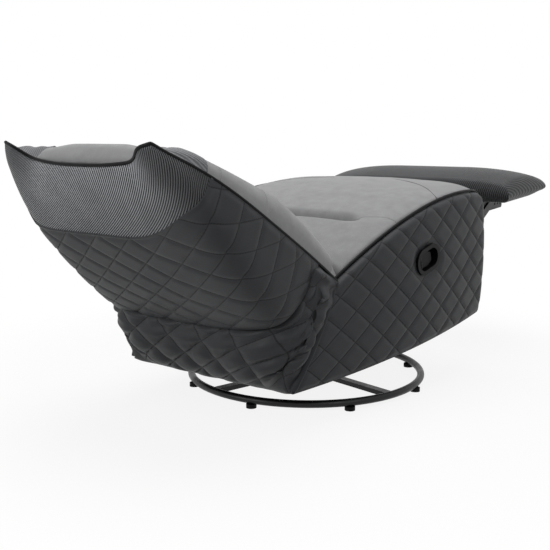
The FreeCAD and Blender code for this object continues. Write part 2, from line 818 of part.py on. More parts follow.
def headed_pins(pivot, diameter, inner):
    """Pin pair fixed in the plates, each with a head on its inner end."""
    pins = []
    head = diameter * 0.3
    for side in (-1, 1):
        start = side_point(*pivot, side * (inner - S.bearing_gap))
        shank = Part.makeCylinder(diameter / 2, S.rail_inner_half - inner + S.bearing_gap, start,
                                  X_AXIS * side)
        cap = Part.makeCylinder(diameter * 0.8, head, start, X_AXIS * -side)
        pins.append(shank.fuse(cap).removeSplitter())
    return pins


feature("plate_pins", Part.makeCompound(headed_pins(hinge_pivot, S.hinge_pin, layer(1))
                                        + headed_pins(guide_pivot, S.guide_pin, layer(3))))

# Footrest linkage, opened at the free ends of the guide and steer links
knee = polar(drive_pivot, S.drive_length, S.drive_open)
rest_pivot = polar(knee, S.lift_length, S.lift_open)
tail_pivot = polar(knee, -S.lift_tail, S.lift_open)
steer_pivot = polar(knee, -S.steer_root, S.drive_open)
steer_end = polar(rest_pivot, -S.steer_offset, S.rest_open)
guide_length, guide_angle = span(guide_pivot, tail_pivot)
steer_length, steer_angle = span(steer_pivot, steer_end)
derived("guide_length", guide_length)
derived("steer_length", steer_length)
derived("steer_reach", S.drive_length - S.steer_root)
PIN_R = "@link_pin / 2"
RUN_R = "@link_pin / 2 + @running_gap"
EYE_R = "@link_width / 2"
STEP = "(@layer_gap + @link_thickness)"
GUIDE_EYE = "@link_pin / 2 + @slack_guide + @eye_wall"
STEER_EYE = "@link_pin / 2 + @slack_steer + @eye_wall"


def linkage(side_name):
    """Links of one side, from the plate inwards: drive, lift, guide and steer."""
    drive = hull_link("drive_link_" + side_name, "@drive_length", "@drive_tube / 2 + 8", EYE_R,
                      holes=[("0", "@drive_tube / 2")],
                      pins=[("@drive_length", PIN_R, STEP), ("@steer_reach", PIN_R, "3 * " + STEP)])
    drive.Placement = link_place(side_point(*drive_pivot), S.drive_open, layer(1))
    lift_link = hull_link("lift_link_" + side_name, "@lift_length + @lift_tail", EYE_R, EYE_R,
                          holes=[("@lift_tail", RUN_R)],
                          pins=[("0", PIN_R, STEP), ("@lift_length + @lift_tail", PIN_R, STEP)])
    lift_link.Placement = link_place(side_point(*tail_pivot), S.lift_open, layer(2))
    guide = hull_link("guide_link_" + side_name, "@guide_length", EYE_R, GUIDE_EYE,
                      holes=[("0", "@guide_pin / 2 + @running_gap"),
                             ("@guide_length", "@link_pin / 2 + @slack_guide")])
    guide.Placement = link_place(side_point(*guide_pivot), guide_angle, layer(3))
    steer = hull_link("steer_link_" + side_name, "@steer_length", EYE_R, STEER_EYE,
                      holes=[("0", RUN_R), ("@steer_length", "@link_pin / 2 + @slack_steer")])
    steer.Placement = link_place(side_point(*steer_pivot), steer_angle, layer(4))
    return [drive, lift_link, guide, steer]


for item in linkage("left"):
    mirrored(item.Label.replace("left", "right"), item)
TUBE_HALF = "(@rail_inner_half - @bearing_gap * 2)"
tube_place = ("-" + TUBE_HALF, "-@drive_fwd", "@drive_up")
node("drive_tube", tube("drive_tube", "@drive_tube / 2 - @drive_tube_wall", "@drive_tube / 2",
                        "2 * " + TUBE_HALF, tube_place, ALONG_X))

# Footrest in its own frame: ahead along the pad, n away from the floor side
rest_place = Placement(side_point(*rest_pivot), Rotation(X_AXIS, -S.rest_open))
board_n = S.bracket_height / 2 + S.bracket_rise - 12


def bracket_shape():
    """Footrest bracket: pierced bar under the board with two tabs turned in against it."""
    inner = layer(3)
    half = S.bracket_height / 2
    face = rounded_face([side_point(a, n, inner) for a, n in (
        (S.bracket_rear, -half), (S.bracket_front, -half), (S.bracket_front, half * 0.9),
        (S.bracket_rear, half))], 9)
    bar = face.extrude(X_AXIS * S.link_thickness)
    for start in (S.bracket_rear + 8, S.bracket_front - S.bracket_tab - 40):
        rise = box_between(side_point(start + S.bracket_tab, 0, inner),
                           side_point(start, board_n, inner + S.link_thickness))
        flange = box_between(side_point(start + S.bracket_tab, board_n - S.link_thickness, inner - 20),
                             side_point(start, board_n, inner))
        bar = bar.fuse([rise, flange])
    bar = bar.cut(Part.makeCylinder(S.link_pin / 2 + S.running_gap, FAR, MIDDLE, X_AXIS))
    for index in range(3):
        place = S.bracket_front - 14 - index * S.bracket_hole_pitch
        bar = bar.cut(box_between(side_point(place + S.bracket_hole / 2, -S.bracket_hole / 2),
                                  side_point(place - S.bracket_hole / 2, S.bracket_hole / 2, FAR)))
    pin = Part.makeCylinder(S.link_pin / 2, S.layer_gap + S.link_thickness,
                            side_point(-S.steer_offset, 0, inner), -X_AXIS)
    return bar.fuse(pin).removeSplitter()


left_bracket = feature("footrest_bracket_left", bracket_shape(), rest_place)
mirrored("footrest_bracket_right", left_bracket)

board = DOC.addObject("Part::Box", "footrest_board")
board.setExpression("Length", formula("2 * @board_half"))
board.setExpression("Width", formula("@board_front - @board_rear"))
board.setExpression("Height", formula("@board_thickness"))
board_corner = side_point(S.board_front, board_n, -S.board_half)
board.Placement = rest_place.multiply(Placement(board_corner, Rotation()))
node("footrest_board", board)


def pad_section(side):
    """Footrest pad cut across at a side distance: flat under, crowned on top, drawn in at the ends."""
    low = board_n + S.board_thickness + S.soft_gap
    gap = S.pad_half - abs(side)
    shrink = 1 - 0.62 * corner_drop(gap, S.pad_end_round) / S.pad_end_round
    draw = 14 * corner_drop(gap, S.pad_end_round) / S.pad_end_round
    rear, front = S.pad_rear + draw, S.pad_front - draw
    nose = low + S.pad_nose_depth * shrink
    heel = low + S.pad_rear_depth * shrink
    crest = low + S.pad_depth * shrink
    corner = [side_point(a, n, side) for a, n in (
        (rear + 16, low), (front - 22, low), (front - 24, nose + 14 * shrink),
        (rear + 26, heel + 12 * shrink))]
    return Part.Wire([line(corner[0], corner[1]),
                      arc(corner[1], side_point(front, nose - 8 * shrink, side), corner[2]),
                      arc(corner[2], side_point(rear + 0.5 * (front - rear), crest, side), corner[3]),
                      arc(corner[3], side_point(rear, heel - 14 * shrink, side), corner[0])])


pad_stops = [-1.0, -0.985, -0.93, -0.8, -0.4, 0.0, 0.4, 0.8, 0.93, 0.985, 1.0]
feature("footrest_pad", loft([pad_section(stop * S.pad_half) for stop in pad_stops]), rest_place)

# Seat cushions: crowned panels between the side covers, meeting in the tuck
tuck_half_gap = S.soft_gap / 2


def seat_section(fwd, rise, low):
    """Cushion cut across: flat under, upright drawn-in sides, crowned top."""
    half = body_half(fwd) - S.cover_thickness - S.soft_gap
    edge = seat_edge(fwd) - S.piping_diameter - rise
    crown = edge + S.seat_crown * (1 - rise / (3 * S.front_top_round))
    a, b = side_point(fwd, low, -half + 6), side_point(fwd, low, half - 6)
    c, d = side_point(fwd, edge, half), side_point(fwd, edge, -half)
    return Part.Wire([line(a, b), line(b, c), arc(c, side_point(fwd, crown, 0), d), line(d, a)])


def tuck_drop(fwd):
    """Depth of the tuck at a distance from its middle line."""
    return S.tuck_depth * corner_drop(abs(fwd - S.tuck_fwd), S.tuck_round) / S.tuck_round


def panel_stops(rear, rear_round, front, front_round):
    """Cross-section places along a panel: close together over its two rounded ends."""
    shares = (0, 0.14, 0.45, 1)
    inner_rear, inner_front = rear + rear_round, front - front_round
    stops = [rear + share * rear_round for share in shares]
    stops += [inner_rear + share * (inner_front - inner_rear) for share in (0.33, 0.67)]
    return stops + [front - share * front_round for share in reversed(shares)]


rear_panel = []
tuck_rear, tuck_front = S.tuck_fwd - tuck_half_gap, S.tuck_fwd + tuck_half_gap
for fwd in panel_stops(S.seat_rear_fwd, S.seat_rear_round, tuck_rear, S.tuck_round):
    rise = tuck_drop(fwd) + 0.9 * corner_drop(fwd - S.seat_rear_fwd, S.seat_rear_round)
    rear_panel.append(seat_section(fwd, rise, deck(fwd) + S.cushion_lift))
feature("seat_cushion", loft(rear_panel))

thigh_panel = []
nose_fwd = S.front_fwd - S.seat_nose_gap
for fwd in panel_stops(tuck_front, S.tuck_round, nose_fwd, S.front_top_round):
    low = deck(fwd) + S.cushion_lift
    rise = tuck_drop(fwd) + 0.62 * corner_drop(nose_fwd - fwd, S.front_top_round)
    thigh_panel.append(seat_section(fwd, rise, low))
feature("thigh_cushion", loft(thigh_panel))


# Side covers: padded panels from hem to piping, ended at the rear seam
def cover_section(fwd):
    """Side cover cut across: flat inside, bulging outside."""
    gap = S.front_fwd - fwd
    low = hem(fwd) + corner_drop(gap, S.front_low_round)
    top = seat_edge(fwd) - corner_drop(gap, S.front_top_round)
    outer = body_half(fwd) - 0.3 * corner_drop(gap, S.front_low_round)
    inner = body_half(fwd) - S.cover_thickness
    mid_up = (low + top) / 2
    a, b = side_point(fwd, low, inner), side_point(fwd, low, outer - S.cover_edge_draw)
    c, d = side_point(fwd, top, outer - S.cover_edge_draw), side_point(fwd, top, inner)
    return Part.Wire([line(a, b), arc(b, side_point(fwd, mid_up, outer + S.cover_bulge), c),
                      line(c, d), line(d, a)])


def behind_rear_seam(clearance):
    """Everything behind the slanting rear seam of the body."""
    rise = (S.crook_up - S.hem_rear_up) / (S.crook_fwd - S.hem_rear_fwd)
    top, low = 400.0, -100.0
    seam = [(S.crook_fwd + (up - S.crook_up) / rise - clearance, up) for up in (low, top)]
    outline = seam + [(-FAR, top), (-FAR, low)]
    return polygon_prism([side_point(fwd, up, -FAR) for fwd, up in outline], X_AXIS * 2 * FAR)


cover_nose = S.front_fwd - 2 * S.front_low_round
cover_stops = [S.front_fwd - share * S.front_low_round for share in (0, 0.12, 0.41, 1)]
for share in (0, 0.11, 0.26, 0.42, 0.58, 0.74, 0.88, 1):
    cover_stops.append(cover_nose - share * (cover_nose - S.hem_rear_fwd))
cover = loft([cover_section(stop) for stop in cover_stops])
cover = cover.cut(behind_rear_seam(0))
left_cover = feature("side_cover_left", cover)

# Handle cup frame: a along the cup towards the front, b across it, c out of the chair
tilt = math.radians(S.handle_tilt)
cover_run = Vector(body_half(S.handle_fwd) - body_half(S.handle_fwd + 1), -1, 0).normalize()
upright = Vector(0, 0, 1)
cup_a = cover_run * math.cos(tilt) + upright * math.sin(tilt)
cup_b = upright * math.cos(tilt) - cover_run * math.sin(tilt)
cup_c = cup_a.cross(cup_b)
rim_side = body_half(S.handle_fwd) + S.cover_bulge - S.rim_bite
cup_place = frame_of(cup_a, cup_b, cup_c, side_point(S.handle_fwd, S.handle_up, -rim_side))


def stadium(long_side, short_side, low, high):
    """Prism with round ends in the cup frame."""
    radius = short_side / 2
    reach = long_side / 2 - radius
    up = Vector(0, 0, 1)
    block = box_between(Vector(-reach, -radius, low), Vector(reach, radius, high))
    ends = [Part.makeCylinder(radius, high - low, Vector(end * reach, 0, low), up) for end in (-1, 1)]
    return block.fuse(ends).removeSplitter()


ease = 2 * S.soft_gap
opening = stadium(S.cup_length + ease, S.cup_height + ease, -2 * S.cover_thickness, 2 * S.cover_thickness)
seat_ring = stadium(S.cup_length + 2 * S.cup_rim + ease, S.cup_height + 2 * S.cup_rim + ease,
                    -S.soft_gap / 2, 2 * S.cover_thickness)
opening = opening.fuse(seat_ring)
opening.Placement = cup_place
right_blank = cover.mirror(MIDDLE, X_AXIS)
feature("side_cover_right", right_blank.cut(opening))

cup = stadium(S.cup_length, S.cup_height, -S.cup_depth, S.soft_gap)
rim = stadium(S.cup_length + 2 * S.cup_rim, S.cup_height + 2 * S.cup_rim, 0, S.cup_rim_thickness)
hollow = stadium(S.cup_length - 2 * S.cup_wall, S.cup_height - 2 * S.cup_wall,
                 -S.cup_depth + S.cup_wall, FAR)
bezel = cup.fuse(rim).removeSplitter().cut(hollow)
pin_a = -S.cup_length / 2 + S.cup_height / 2 - 8
pin_c = -S.paddle_sunk - S.paddle_thickness / 2
pin_b_half = S.cup_height / 2 - S.cup_wall / 2
across_cup = Vector(0, 1, 0)
pin_bar = Part.makeCylinder(S.handle_pin / 2, 2 * pin_b_half, Vector(pin_a, -pin_b_half, pin_c), across_cup)
feature("handle_bezel", bezel.cut(pin_bar), cup_place)
feature("handle_pin", pin_bar, cup_place)
paddle_half = S.cup_height / 2 - S.cup_wall - S.paddle_gap
barrel_r = S.handle_pin / 2 + 4
blade = rounded_face([Vector(a, b, pin_c - S.paddle_thickness / 2) for a, b in (
    (pin_a, -0.8 * paddle_half), (pin_a + S.paddle_length * 0.6, -0.93 * paddle_half),
    (pin_a + S.paddle_length, -0.55 * paddle_half), (pin_a + S.paddle_length, 0.55 * paddle_half),
    (pin_a + S.paddle_length * 0.6, 0.93 * paddle_half), (pin_a, 0.8 * paddle_half))], 5)
blade = blade.extrude(Vector(0, 0, S.paddle_thickness))
barrel_start = Vector(pin_a, -0.8 * paddle_half, pin_c)
barrel = Part.makeCylinder(barrel_r, 1.6 * paddle_half, barrel_start, across_cup)
bore_start = Vector(pin_a, -FAR / 2, pin_c)
bore = Part.makeCylinder(S.handle_pin / 2 + S.running_gap, FAR, bore_start, across_cup)
lip = box_between(Vector(pin_a + S.paddle_length - 9, -0.36 * paddle_half, pin_c - 12),
                  Vector(pin_a + S.paddle_length - 2, 0.36 * paddle_half, pin_c))
feature("handle_lever", blade.fuse([barrel, lip]).removeSplitter().cut(bore), cup_place)

cable_out = [cup_place.multVec(Vector(-20, -8, -S.cup_depth - reach)) for reach in (S.soft_gap / 2, 24)]
cable_low = S.rail_belly_up - 14
cable_end = Vector(-S.rail_inner_half - S.soft_gap / 2, cable_out[1].y, cable_low)
cable_path = rounded_path(cable_out + [Vector(cable_out[1].x, cable_out[1].y, cable_low), cable_end], 11)
feature("release_cable", cord(cable_path, S.cable_diameter))

# Seat piping: a cord along the top of each side cover and down its front corner
piping_lines = []
piping_turn_fwd = S.front_fwd - 1.6 * S.front_top_round
for side in (-1, 1):
    points = []
    for step in range(11):
        fwd = S.crook_fwd + step * (piping_turn_fwd - S.crook_fwd) / 10
        points.append(side_point(fwd, seat_edge(fwd) + S.piping_diameter / 2 + S.piping_lift,
                                 side * (body_half(fwd) - S.cover_thickness / 2)))
    tip_fwd = S.front_fwd + S.piping_diameter / 2 + S.piping_lift
    tip_side = side * (body_half(S.front_fwd) - S.cover_thickness / 2 - 3)
    tip_up = seat_edge(S.front_fwd) + S.piping_diameter / 2 + S.piping_lift
    points.append(side_point(tip_fwd, tip_up, tip_side))
    points.append(side_point(tip_fwd, hem(S.front_fwd) + 2 * S.front_low_round, tip_side))
    piping_lines.append(cord(rounded_path(points, 60), S.piping_diameter))
feature("seat_piping", Part.makeCompound(piping_lines))

# Backrest in its own frame: y up the back, z towards the sitter
back_place = Placement(side_point(S.crook_fwd, S.crook_up), Rotation(X_AXIS, S.back_angle))


def back_half(u):
    """Half width of the backrest at a height along it."""
    if u < S.back_half_mid_at:
        return S.back_half_mid - (S.back_half_mid - S.back_half_low) * (1 - u / S.back_half_mid_at) ** 2
    rise = (u - S.back_half_mid_at) / (S.back_length - S.back_half_mid_at)
    return S.back_half_mid - (S.back_half_mid - S.back_half_top) * rise ** S.wing_sweep


shell_depth = parabola((S.shell_start, S.shell_depth_low), (S.shell_depth_mid_at, S.shell_depth_mid),
                       (S.back_length, S.shell_depth_top))
bolster = parabola((S.bolster_low_at, S.bolster_low), (S.bolster_mid_at, S.bolster_mid),
                   (S.bolster_top_at, S.bolster_top))


def shell_section(u, inset, front):
    """Backrest shell cut across: flat front, rounded rear corners."""
    half = back_half(u) - inset
    depth = shell_depth(u) - inset
    radius = min(S.shell_corner_round, 0.7 * depth)
    waist = 0.1 * depth
    side = Vector(half - waist, u, -depth + radius)
    slant = math.cos(math.pi / 4)
    heel = Vector(side.x - radius, u, -depth)
    middle = Vector(side.x - radius + radius * slant, u, -depth + radius - radius * slant)
    flip = lambda point: Vector(-point.x, point.y, point.z)
    tip = Vector(half, u, front)
    return Part.Wire([line(flip(tip), flip(side)), arc(flip(side), flip(middle), flip(heel)),
                      line(flip(heel), heel), arc(heel, middle, side), line(side, tip),
                      line(tip, flip(tip))])


shell_run = S.back_length - S.shell_start
shell_stops = [S.shell_start + share * shell_run
               for share in (-0.01, 0.12, 0.3, 0.48, 0.66, 0.8, 0.9, 0.96, 1)]
shell = loft([shell_section(u, 0, 0) for u in shell_stops])
core_stops = [S.shell_start - 20] + shell_stops[1:-2] + [S.back_length - 26]
core = loft([shell_section(u, S.shell_wall, 20) for u in core_stops])
dip_round = (S.back_half_top ** 2 + S.wing_dip ** 2) / (2 * S.wing_dip)
dip = Part.makeCylinder(dip_round, FAR, Vector(0, S.back_length - S.wing_dip + dip_round, -FAR / 2))


def above_shell_hem(gap):
    """Everything above the backrest's lower edge, which rises in an arc to the sides."""
    radius = S.shell_hem_round + gap
    return Part.makeCylinder(radius, 2 * FAR, Vector(0, S.shell_start + S.shell_hem_round, -FAR))


shell = shell.cut(core).cut(dip).common(above_shell_hem(0))
seam_line = [back_place.inverse().multVec(side_point(S.hood_seam_fwd, up)) for up in (-FAR, FAR)]
seam_side = [point + Vector(-FAR, 0, 0) for point in seam_line]
ahead_of_seam = [point + Vector(0, -FAR * math.cos(math.radians(S.back_angle)),
                                FAR * math.sin(math.radians(S.back_angle))) for point in seam_side]
below = polygon_prism([seam_side[0], seam_side[1], ahead_of_seam[1], ahead_of_seam[0]], X_AXIS * 2 * FAR)
feature("back_cover", shell.common(below), back_place)
feature("back_hood", shell.cut(below), back_place)


def cushion_section(u, drop, fill):
    """Back cushion cut across: flat behind, bolsters at the sides, the middle filled to a share of them."""
    half = back_half(u) - S.shell_wall - S.cushion_ease
    low = -S.cushion_seat
    crest = bolster(u) - drop
    middle = low + fill * (crest - low)
    edge = low + 0.45 * (crest - low)
    crest_side = min(S.bolster_side, half - 30)
    shoulder = crest_side - 85
    slope = low + (fill + 0.04) * (crest - low)
    points = [Vector(-half, u, low), Vector(half, u, low), Vector(half, u, edge),
              Vector(crest_side, u, crest), Vector(shoulder, u, slope), Vector(0, u, middle),
              Vector(-shoulder, u, slope), Vector(-crest_side, u, crest), Vector(-half, u, edge)]
    return Part.Wire([line(points[0], points[1]), line(points[1], points[2]),
                      arc(points[2], points[3], points[4]), arc(points[4], points[5], points[6]),
                      arc(points[6], points[7], points[8]), line(points[8], points[0])])


def back_cushion(label, start, end, round_start, round_end, fill):
    """One padded section of the backrest, rounded down at both ends."""
    sections = []
    for part in (0, 0.07, 0.25, 0.5, 0.75, 0.93, 1):
        u = start + part * (end - start)
        drop = S.back_tuck_depth * max(corner_drop(u - start, round_start) / round_start,
                                       corner_drop(end - u, round_end) / round_end)
        sections.append(cushion_section(u, drop, fill))
    feature(label, loft(sections), back_place)


back_cushion("lumbar_cushion", S.back_start, S.lumbar_end, S.back_end_round, S.back_end_round / 2,
             S.back_fill)
back_cushion("shoulder_cushion", S.lumbar_end + S.soft_gap, S.shoulder_end,
             S.back_end_round / 2, S.back_end_round / 2, S.back_fill)
headrest_end = S.back_length - S.headrest_gap
back_cushion("headrest_cushion", S.shoulder_end + S.soft_gap, headrest_end,
             S.back_end_round / 2, S.back_end_round, S.headrest_fill)

# Backrest frame: two posts on the hinge brackets, two rails, webbing under the cushions
post_outer = layer(1)
post_top = -S.post_front
post_end = S.back_length - S.post_top_gap


def back_box(label, low, high):
    """Straight bar of the backrest frame."""
    return feature(label, box_between(low, high), back_place)


post_corner = Vector(post_outer - S.post_width, S.post_start, post_top - S.post_depth)
left_post = back_box("back_post_left", post_corner, Vector(post_outer, post_end, post_top))
mirrored("back_post_right", left_post)
between = post_outer - S.post_width
back_box("back_lower_rail", Vector(-between, S.lower_rail_at, post_top - S.post_depth),
         Vector(between, S.lower_rail_at + S.rail_width, post_top))
back_box("back_top_rail", Vector(-between, post_end - S.rail_width, post_top - S.post_depth),
         Vector(between, post_end, post_top))
webs = []
web_start = S.lower_rail_at + S.rail_width + 14
web_room = post_end - S.rail_width - 14 - web_start - S.web_width
for index in range(int(S.web_count)):
    at = web_start + index * web_room / (S.web_count - 1)
    far_corner = Vector(post_outer, at + S.web_width, post_top + S.web_thickness)
    webs.append(box_between(Vector(-post_outer, at, post_top), far_corner))
feature("back_webbing", Part.makeCompound(webs), back_place)


def hinge_bracket():
    """Backrest bracket: eye on the hinge pin, arm up the outside of the post."""
    eye = back_place.inverse().multVec(side_point(*hinge_pivot))
    ring = 1.25 * S.hinge_pin
    top, low = post_top - 2, post_top - S.post_depth + 2
    reach = S.post_start + S.bracket_reach
    outline = [(eye.y - ring, eye.z + ring), (eye.y + ring, eye.z + ring), (S.back_start - 7, post_top + 3),
               (reach, top), (reach, low), (S.post_start + 8, low), (eye.y - ring, eye.z - ring)]
    face = rounded_face([Vector(layer(1), u, n) for u, n in outline], 9)
    plate = face.extrude(X_AXIS * S.link_thickness)
    bore = Part.makeCylinder(S.hinge_pin / 2 + S.running_gap, FAR, Vector(0, eye.y, eye.z), X_AXIS)
    return plate.cut(bore)


left_bracket_back = feature("back_bracket_left", hinge_bracket(), back_place)
mirrored("back_bracket_right", left_bracket_back)

# Back piping: one cord from hinge to hinge round the rim of the shell
rim_points = []
for share in (0.004, 0.16, 0.34, 0.52, 0.66, 0.78, 0.88, 0.946):
    u = S.shell_start + share * shell_run
    rim_points.append(Vector(back_half(u) - S.shell_wall / 2, u, S.piping_diameter / 2 + S.piping_lift / 2))
tip_u = S.back_length - 6
rim_points.append(Vector(S.back_half_top - 4, tip_u, S.piping_diameter / 2 + S.piping_lift / 2))
for part in (0.8, 0.55, 0.3):
    across = part * S.back_half_top
    fall = math.sqrt(dip_round ** 2 - across ** 2)
    rim_points.append(Vector(across, S.back_length - S.wing_dip + dip_round - fall - 6,
                             S.piping_diameter / 2 + S.piping_lift / 2))
rim_points += [Vector(-point.x, point.y, point.z) for point in reversed(rim_points)]
feature("back_piping", cord(rounded_path(rim_points, 60), S.piping_diameter), back_place)


# Rear apron: loose skirt from the rear seam round the back, tucked under the shell
def apron_section(up, inset):
    """Apron cut level: straight sides, rounded corners, hollowed rear."""
    climb = up - S.apron_hem_up
    half = S.half_rear + 2 + (S.back_half_low - S.half_rear) * climb / 250 - inset
    puff = S.apron_puff * math.sin(math.pi * min(climb / 160, 1))
    corner_fwd = S.hem_rear_fwd - S.apron_flare * climb - puff * 0.5 + inset
    middle_fwd = S.apron_hem_fwd - S.apron_middle_flare * climb - puff + inset
    radius = S.apron_corner_round - inset
    front = S.crook_fwd + 40
    slant = radius * (1 - math.cos(math.pi / 4))
    left = [side_point(front, up, half), side_point(corner_fwd + radius, up, half),
            side_point(corner_fwd + slant, up, half - slant), side_point(corner_fwd, up, half - radius)]
    flip = lambda point: Vector(-point.x, point.y, point.z)
    right = [flip(point) for point in left]
    return Part.Wire([line(left[0], left[1]), arc(left[1], left[2], left[3]),
                      arc(left[3], side_point(middle_fwd, up, 0), right[3]),
                      arc(right[3], right[2], right[1]),
                      line(right[1], right[0]), line(right[0], left[0])])


levels = [S.apron_hem_up + climb for climb in (0, 40, 80, 120, 170, 320)]
skirt = loft([apron_section(up, 0) for up in levels])
lining = loft([apron_section(up, S.apron_thickness) for up in levels])
behind = behind_rear_seam(S.soft_gap)
over_hem = above_shell_hem(S.apron_gap)
over_hem.Placement = back_place
over_rim = box_between(Vector(-FAR, -FAR, -S.soft_gap), Vector(FAR, FAR, FAR))
over_rim.Placement = back_place
apron = skirt.cut(lining).common(behind).cut(over_hem).cut(over_rim)
feature("rear_apron", apron)

# Check every object, then write one file per sub-part
DOC.recompute()
faults = []
for item in DOC.Objects:
    if "Invalid" in item.State or "Error" in item.State:
        faults.append("%s: %s" % (item.Label, item.State))
for label, item in NODES.items():
    if item.Shape.isNull() or not item.Shape.isValid() or not item.Shape.Solids:
        faults.append("%s: no valid solid" % label)
if faults:
    raise RuntimeError("; ".join(faults))
os.makedirs("parts", exist_ok=True)
for label, item in NODES.items():
    item.Shape.exportStep(os.path.join("parts", label + ".step"))
    print(label, len(item.Shape.Solids), round(item.Shape.Volume))
print("nodes", len(NODES))
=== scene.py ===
import functools
import json
import math

import bmesh
import bpy
import numpy as np
from mathutils import Matrix, Vector, noise


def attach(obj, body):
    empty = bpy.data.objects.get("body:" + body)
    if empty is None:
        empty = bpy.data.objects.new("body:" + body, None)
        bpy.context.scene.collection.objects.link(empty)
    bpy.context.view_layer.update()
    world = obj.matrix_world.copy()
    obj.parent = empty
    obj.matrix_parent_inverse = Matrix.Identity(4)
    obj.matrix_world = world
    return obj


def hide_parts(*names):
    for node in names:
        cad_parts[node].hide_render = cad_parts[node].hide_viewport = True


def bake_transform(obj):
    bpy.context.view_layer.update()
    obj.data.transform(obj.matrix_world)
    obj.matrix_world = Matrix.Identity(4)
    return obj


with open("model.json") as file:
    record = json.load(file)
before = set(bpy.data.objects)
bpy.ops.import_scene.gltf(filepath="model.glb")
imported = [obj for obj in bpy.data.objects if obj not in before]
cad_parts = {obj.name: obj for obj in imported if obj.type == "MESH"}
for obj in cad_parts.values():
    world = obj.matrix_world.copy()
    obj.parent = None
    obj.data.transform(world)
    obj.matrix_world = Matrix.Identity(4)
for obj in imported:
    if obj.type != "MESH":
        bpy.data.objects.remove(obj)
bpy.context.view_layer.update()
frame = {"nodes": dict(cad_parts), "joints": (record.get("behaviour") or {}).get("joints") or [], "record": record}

bl_info = {
    "name": "Gaming Recliner",
    "version": (1, 0, 0),
    "blender": (4, 5, 0),
    "location": "View3D > Sidebar > Recliner",
    "description": "Upholstery, trim and finishes of a quilted gaming recliner",
    "category": "Object",
}

MM = 0.001

# Side view of the body in millimetres: places ahead of the swivel axis, heights over the floor
CROOK = (-273, 331)
HEM_REAR = (-405, 92)
FRONT_FWD = 404
FRONT_TOP_ROUND = 62
FRONT_LOW_ROUND = 34
COVER_BULGE = 9
COVER_ROLL = 14
PANEL_LONG = 700
PANEL_WALL = 12
PANEL_TOP_ROUND = 20
PANEL_NOSE_IN = 16
PANEL_NOSE_ROUND = 40
TUCK_FWD = -70
TUCK_REAR_ROUND = 27
TUCK_FRONT_ROUND = 21
TUCK_HALF = 190
TUCK_SWING = 30
SEAT_REAR_FWD = -246
SEAT_HALF = 312
SEAT_MARGIN = 13
SEAT_NOSE_FWD = 396
DECK_REAR = (-252, 288)
DECK_FRONT = (335, 433)
FLAP_HALF = 270
FLAP_PLATE = 210
FLAP_TOP = 376
FLAP_RISE = ((178, 20), (242, 28))
FLAP_REACH = ((198, 14), (236, 12))
FLAP_FRONT_UP = (346, 340)
FLAP_REAR_UP = (357, 342)
FLAP_START_FWD = (-249.5, -239)
FLAP_SAG = (30, 0)
FLAP_END = (-298.8, 348.8)
FLAP_END_SLOPE = 0.606
CLOTH_WALL = 3

# Backrest in its own frame: u up the back from the crook, n towards the sitter
BACK_ANGLE = math.radians(31.2)
BACK_TOP = 602
BACK_HALF_MID = 297
BACK_HALF_MID_AT = 215
BACK_HALF_LOW = 286
BACK_HALF_TOP = 217
WING_SWEEP = 4.3
SHELL_BOX_LOW = 7.3
SHELL_BOX_TOP = 4.0
SHELL_BOX_FROM = 400
SHELL_BOX_RUN = 180
SHELL_LEAST_DEPTH = 4.0
SHELL_WALL = 8
SECTION_SAMPLES = 721
SHELL_HEM = 103
HEM_CORNER_AT = 0.2
HEM_CORNER_RISE = 38
HOOD_SEAM = 411
HOOD_SEAM_RISE = 76
HOOD_CLIMB_RIGHT = (0.48, 0.42)
HOOD_CLIMB_LEFT = (0.86, 0.1)
TOP_EDGE = 561
TOP_EDGE_DEPTH = 22
TOP_EDGE_LIFT = 28
TOP_ROLL = 42
TIP_RISE = 38
TIP_RUN_RIGHT = (116, 100)
TIP_RUN_LEFT = (140, 76)
COVER_TALL = 290
COVER_ROUND = 800
PAD_STARTS = (34, 322, 462, 556)
PAD_TUCKS = ((14, 26), (26, 26), (26, 0))
PAD_TUCK_REACH = 20
HEADREST_FALL = 34
WING_INNER = 146
BACK_MARGIN = 4
BOLSTER_SIDE = 235
BOLSTER_FROM = 105

# Quilting: where two of its lines cross, its diamonds against the nominal one, stitches per side
SHELL_CROSSING = (11, 374)
SHELL_DIAMOND = (0.96, 0.91)
QUILT_DRAWN_FROM = 102
QUILT_DRAWN = ((91, 219, 285, 338, 403), (0, 26, 38, 15, -10))
SIDE_CROSSING = (-169, 296)
SIDE_DIAMOND = 0.965
STITCHES = 12.0

# Footrest pad in its own frame: ahead along the pad, n away from the floor
REST_TURN = math.radians(-3.5)
REST_PAD_LOW = 27
REST_REAR = -117
REST_FRONT = 178
REST_HALF = 334
REST_SHRINK = 0.52
REST_END_ROUND = 220
REST_RIBS = 1.6
REST_ROUNDS = (14, 18, 22)
REST_WALL = 18

# Release cup on the right side
CUP = (59, 351)
CUP_TILT = math.radians(16)
CUP_OPENING = (98, 62)


def parabola(a, b, c):
    """Curve value = f(place) through three (place, value) points."""
    slope_ab = (b[1] - a[1]) / (b[0] - a[0])
    slope_bc = (c[1] - b[1]) / (c[0] - b[0])
    bend = (slope_bc - slope_ab) / (c[0] - a[0])
    return lambda at: a[1] + slope_ab * (at - a[0]) + bend * (at - a[0]) * (at - b[0])


seat_edge = parabola(CROOK, (41, 472), (305, 508))
hem_line = parabola(HEM_REAR, (-34, 121), (383, 165))
body_half = parabola((-405, 254), (-100, 312), (305, 335))
shell_depth = parabola((100, 186), (393, 112), (602, 16))
bolster_crest = parabola((35, 60), (230, 77), (560, 28))


def between(low, high, share):
    """Value at a share of the way from low to high."""
    return low + (high - low) * share


def ease(share):
    """Smooth step from 0 to 1, clamped."""
    share = min(max(share, 0.0), 1.0)
    return share * share * (3 - 2 * share)


def swell(at, start, end):
    """Smooth rise to 1 and fall to 0, each given by its first place and its run."""
    return ease((at - start[0]) / start[1]) * (1 - ease((at - end[0]) / end[1]))


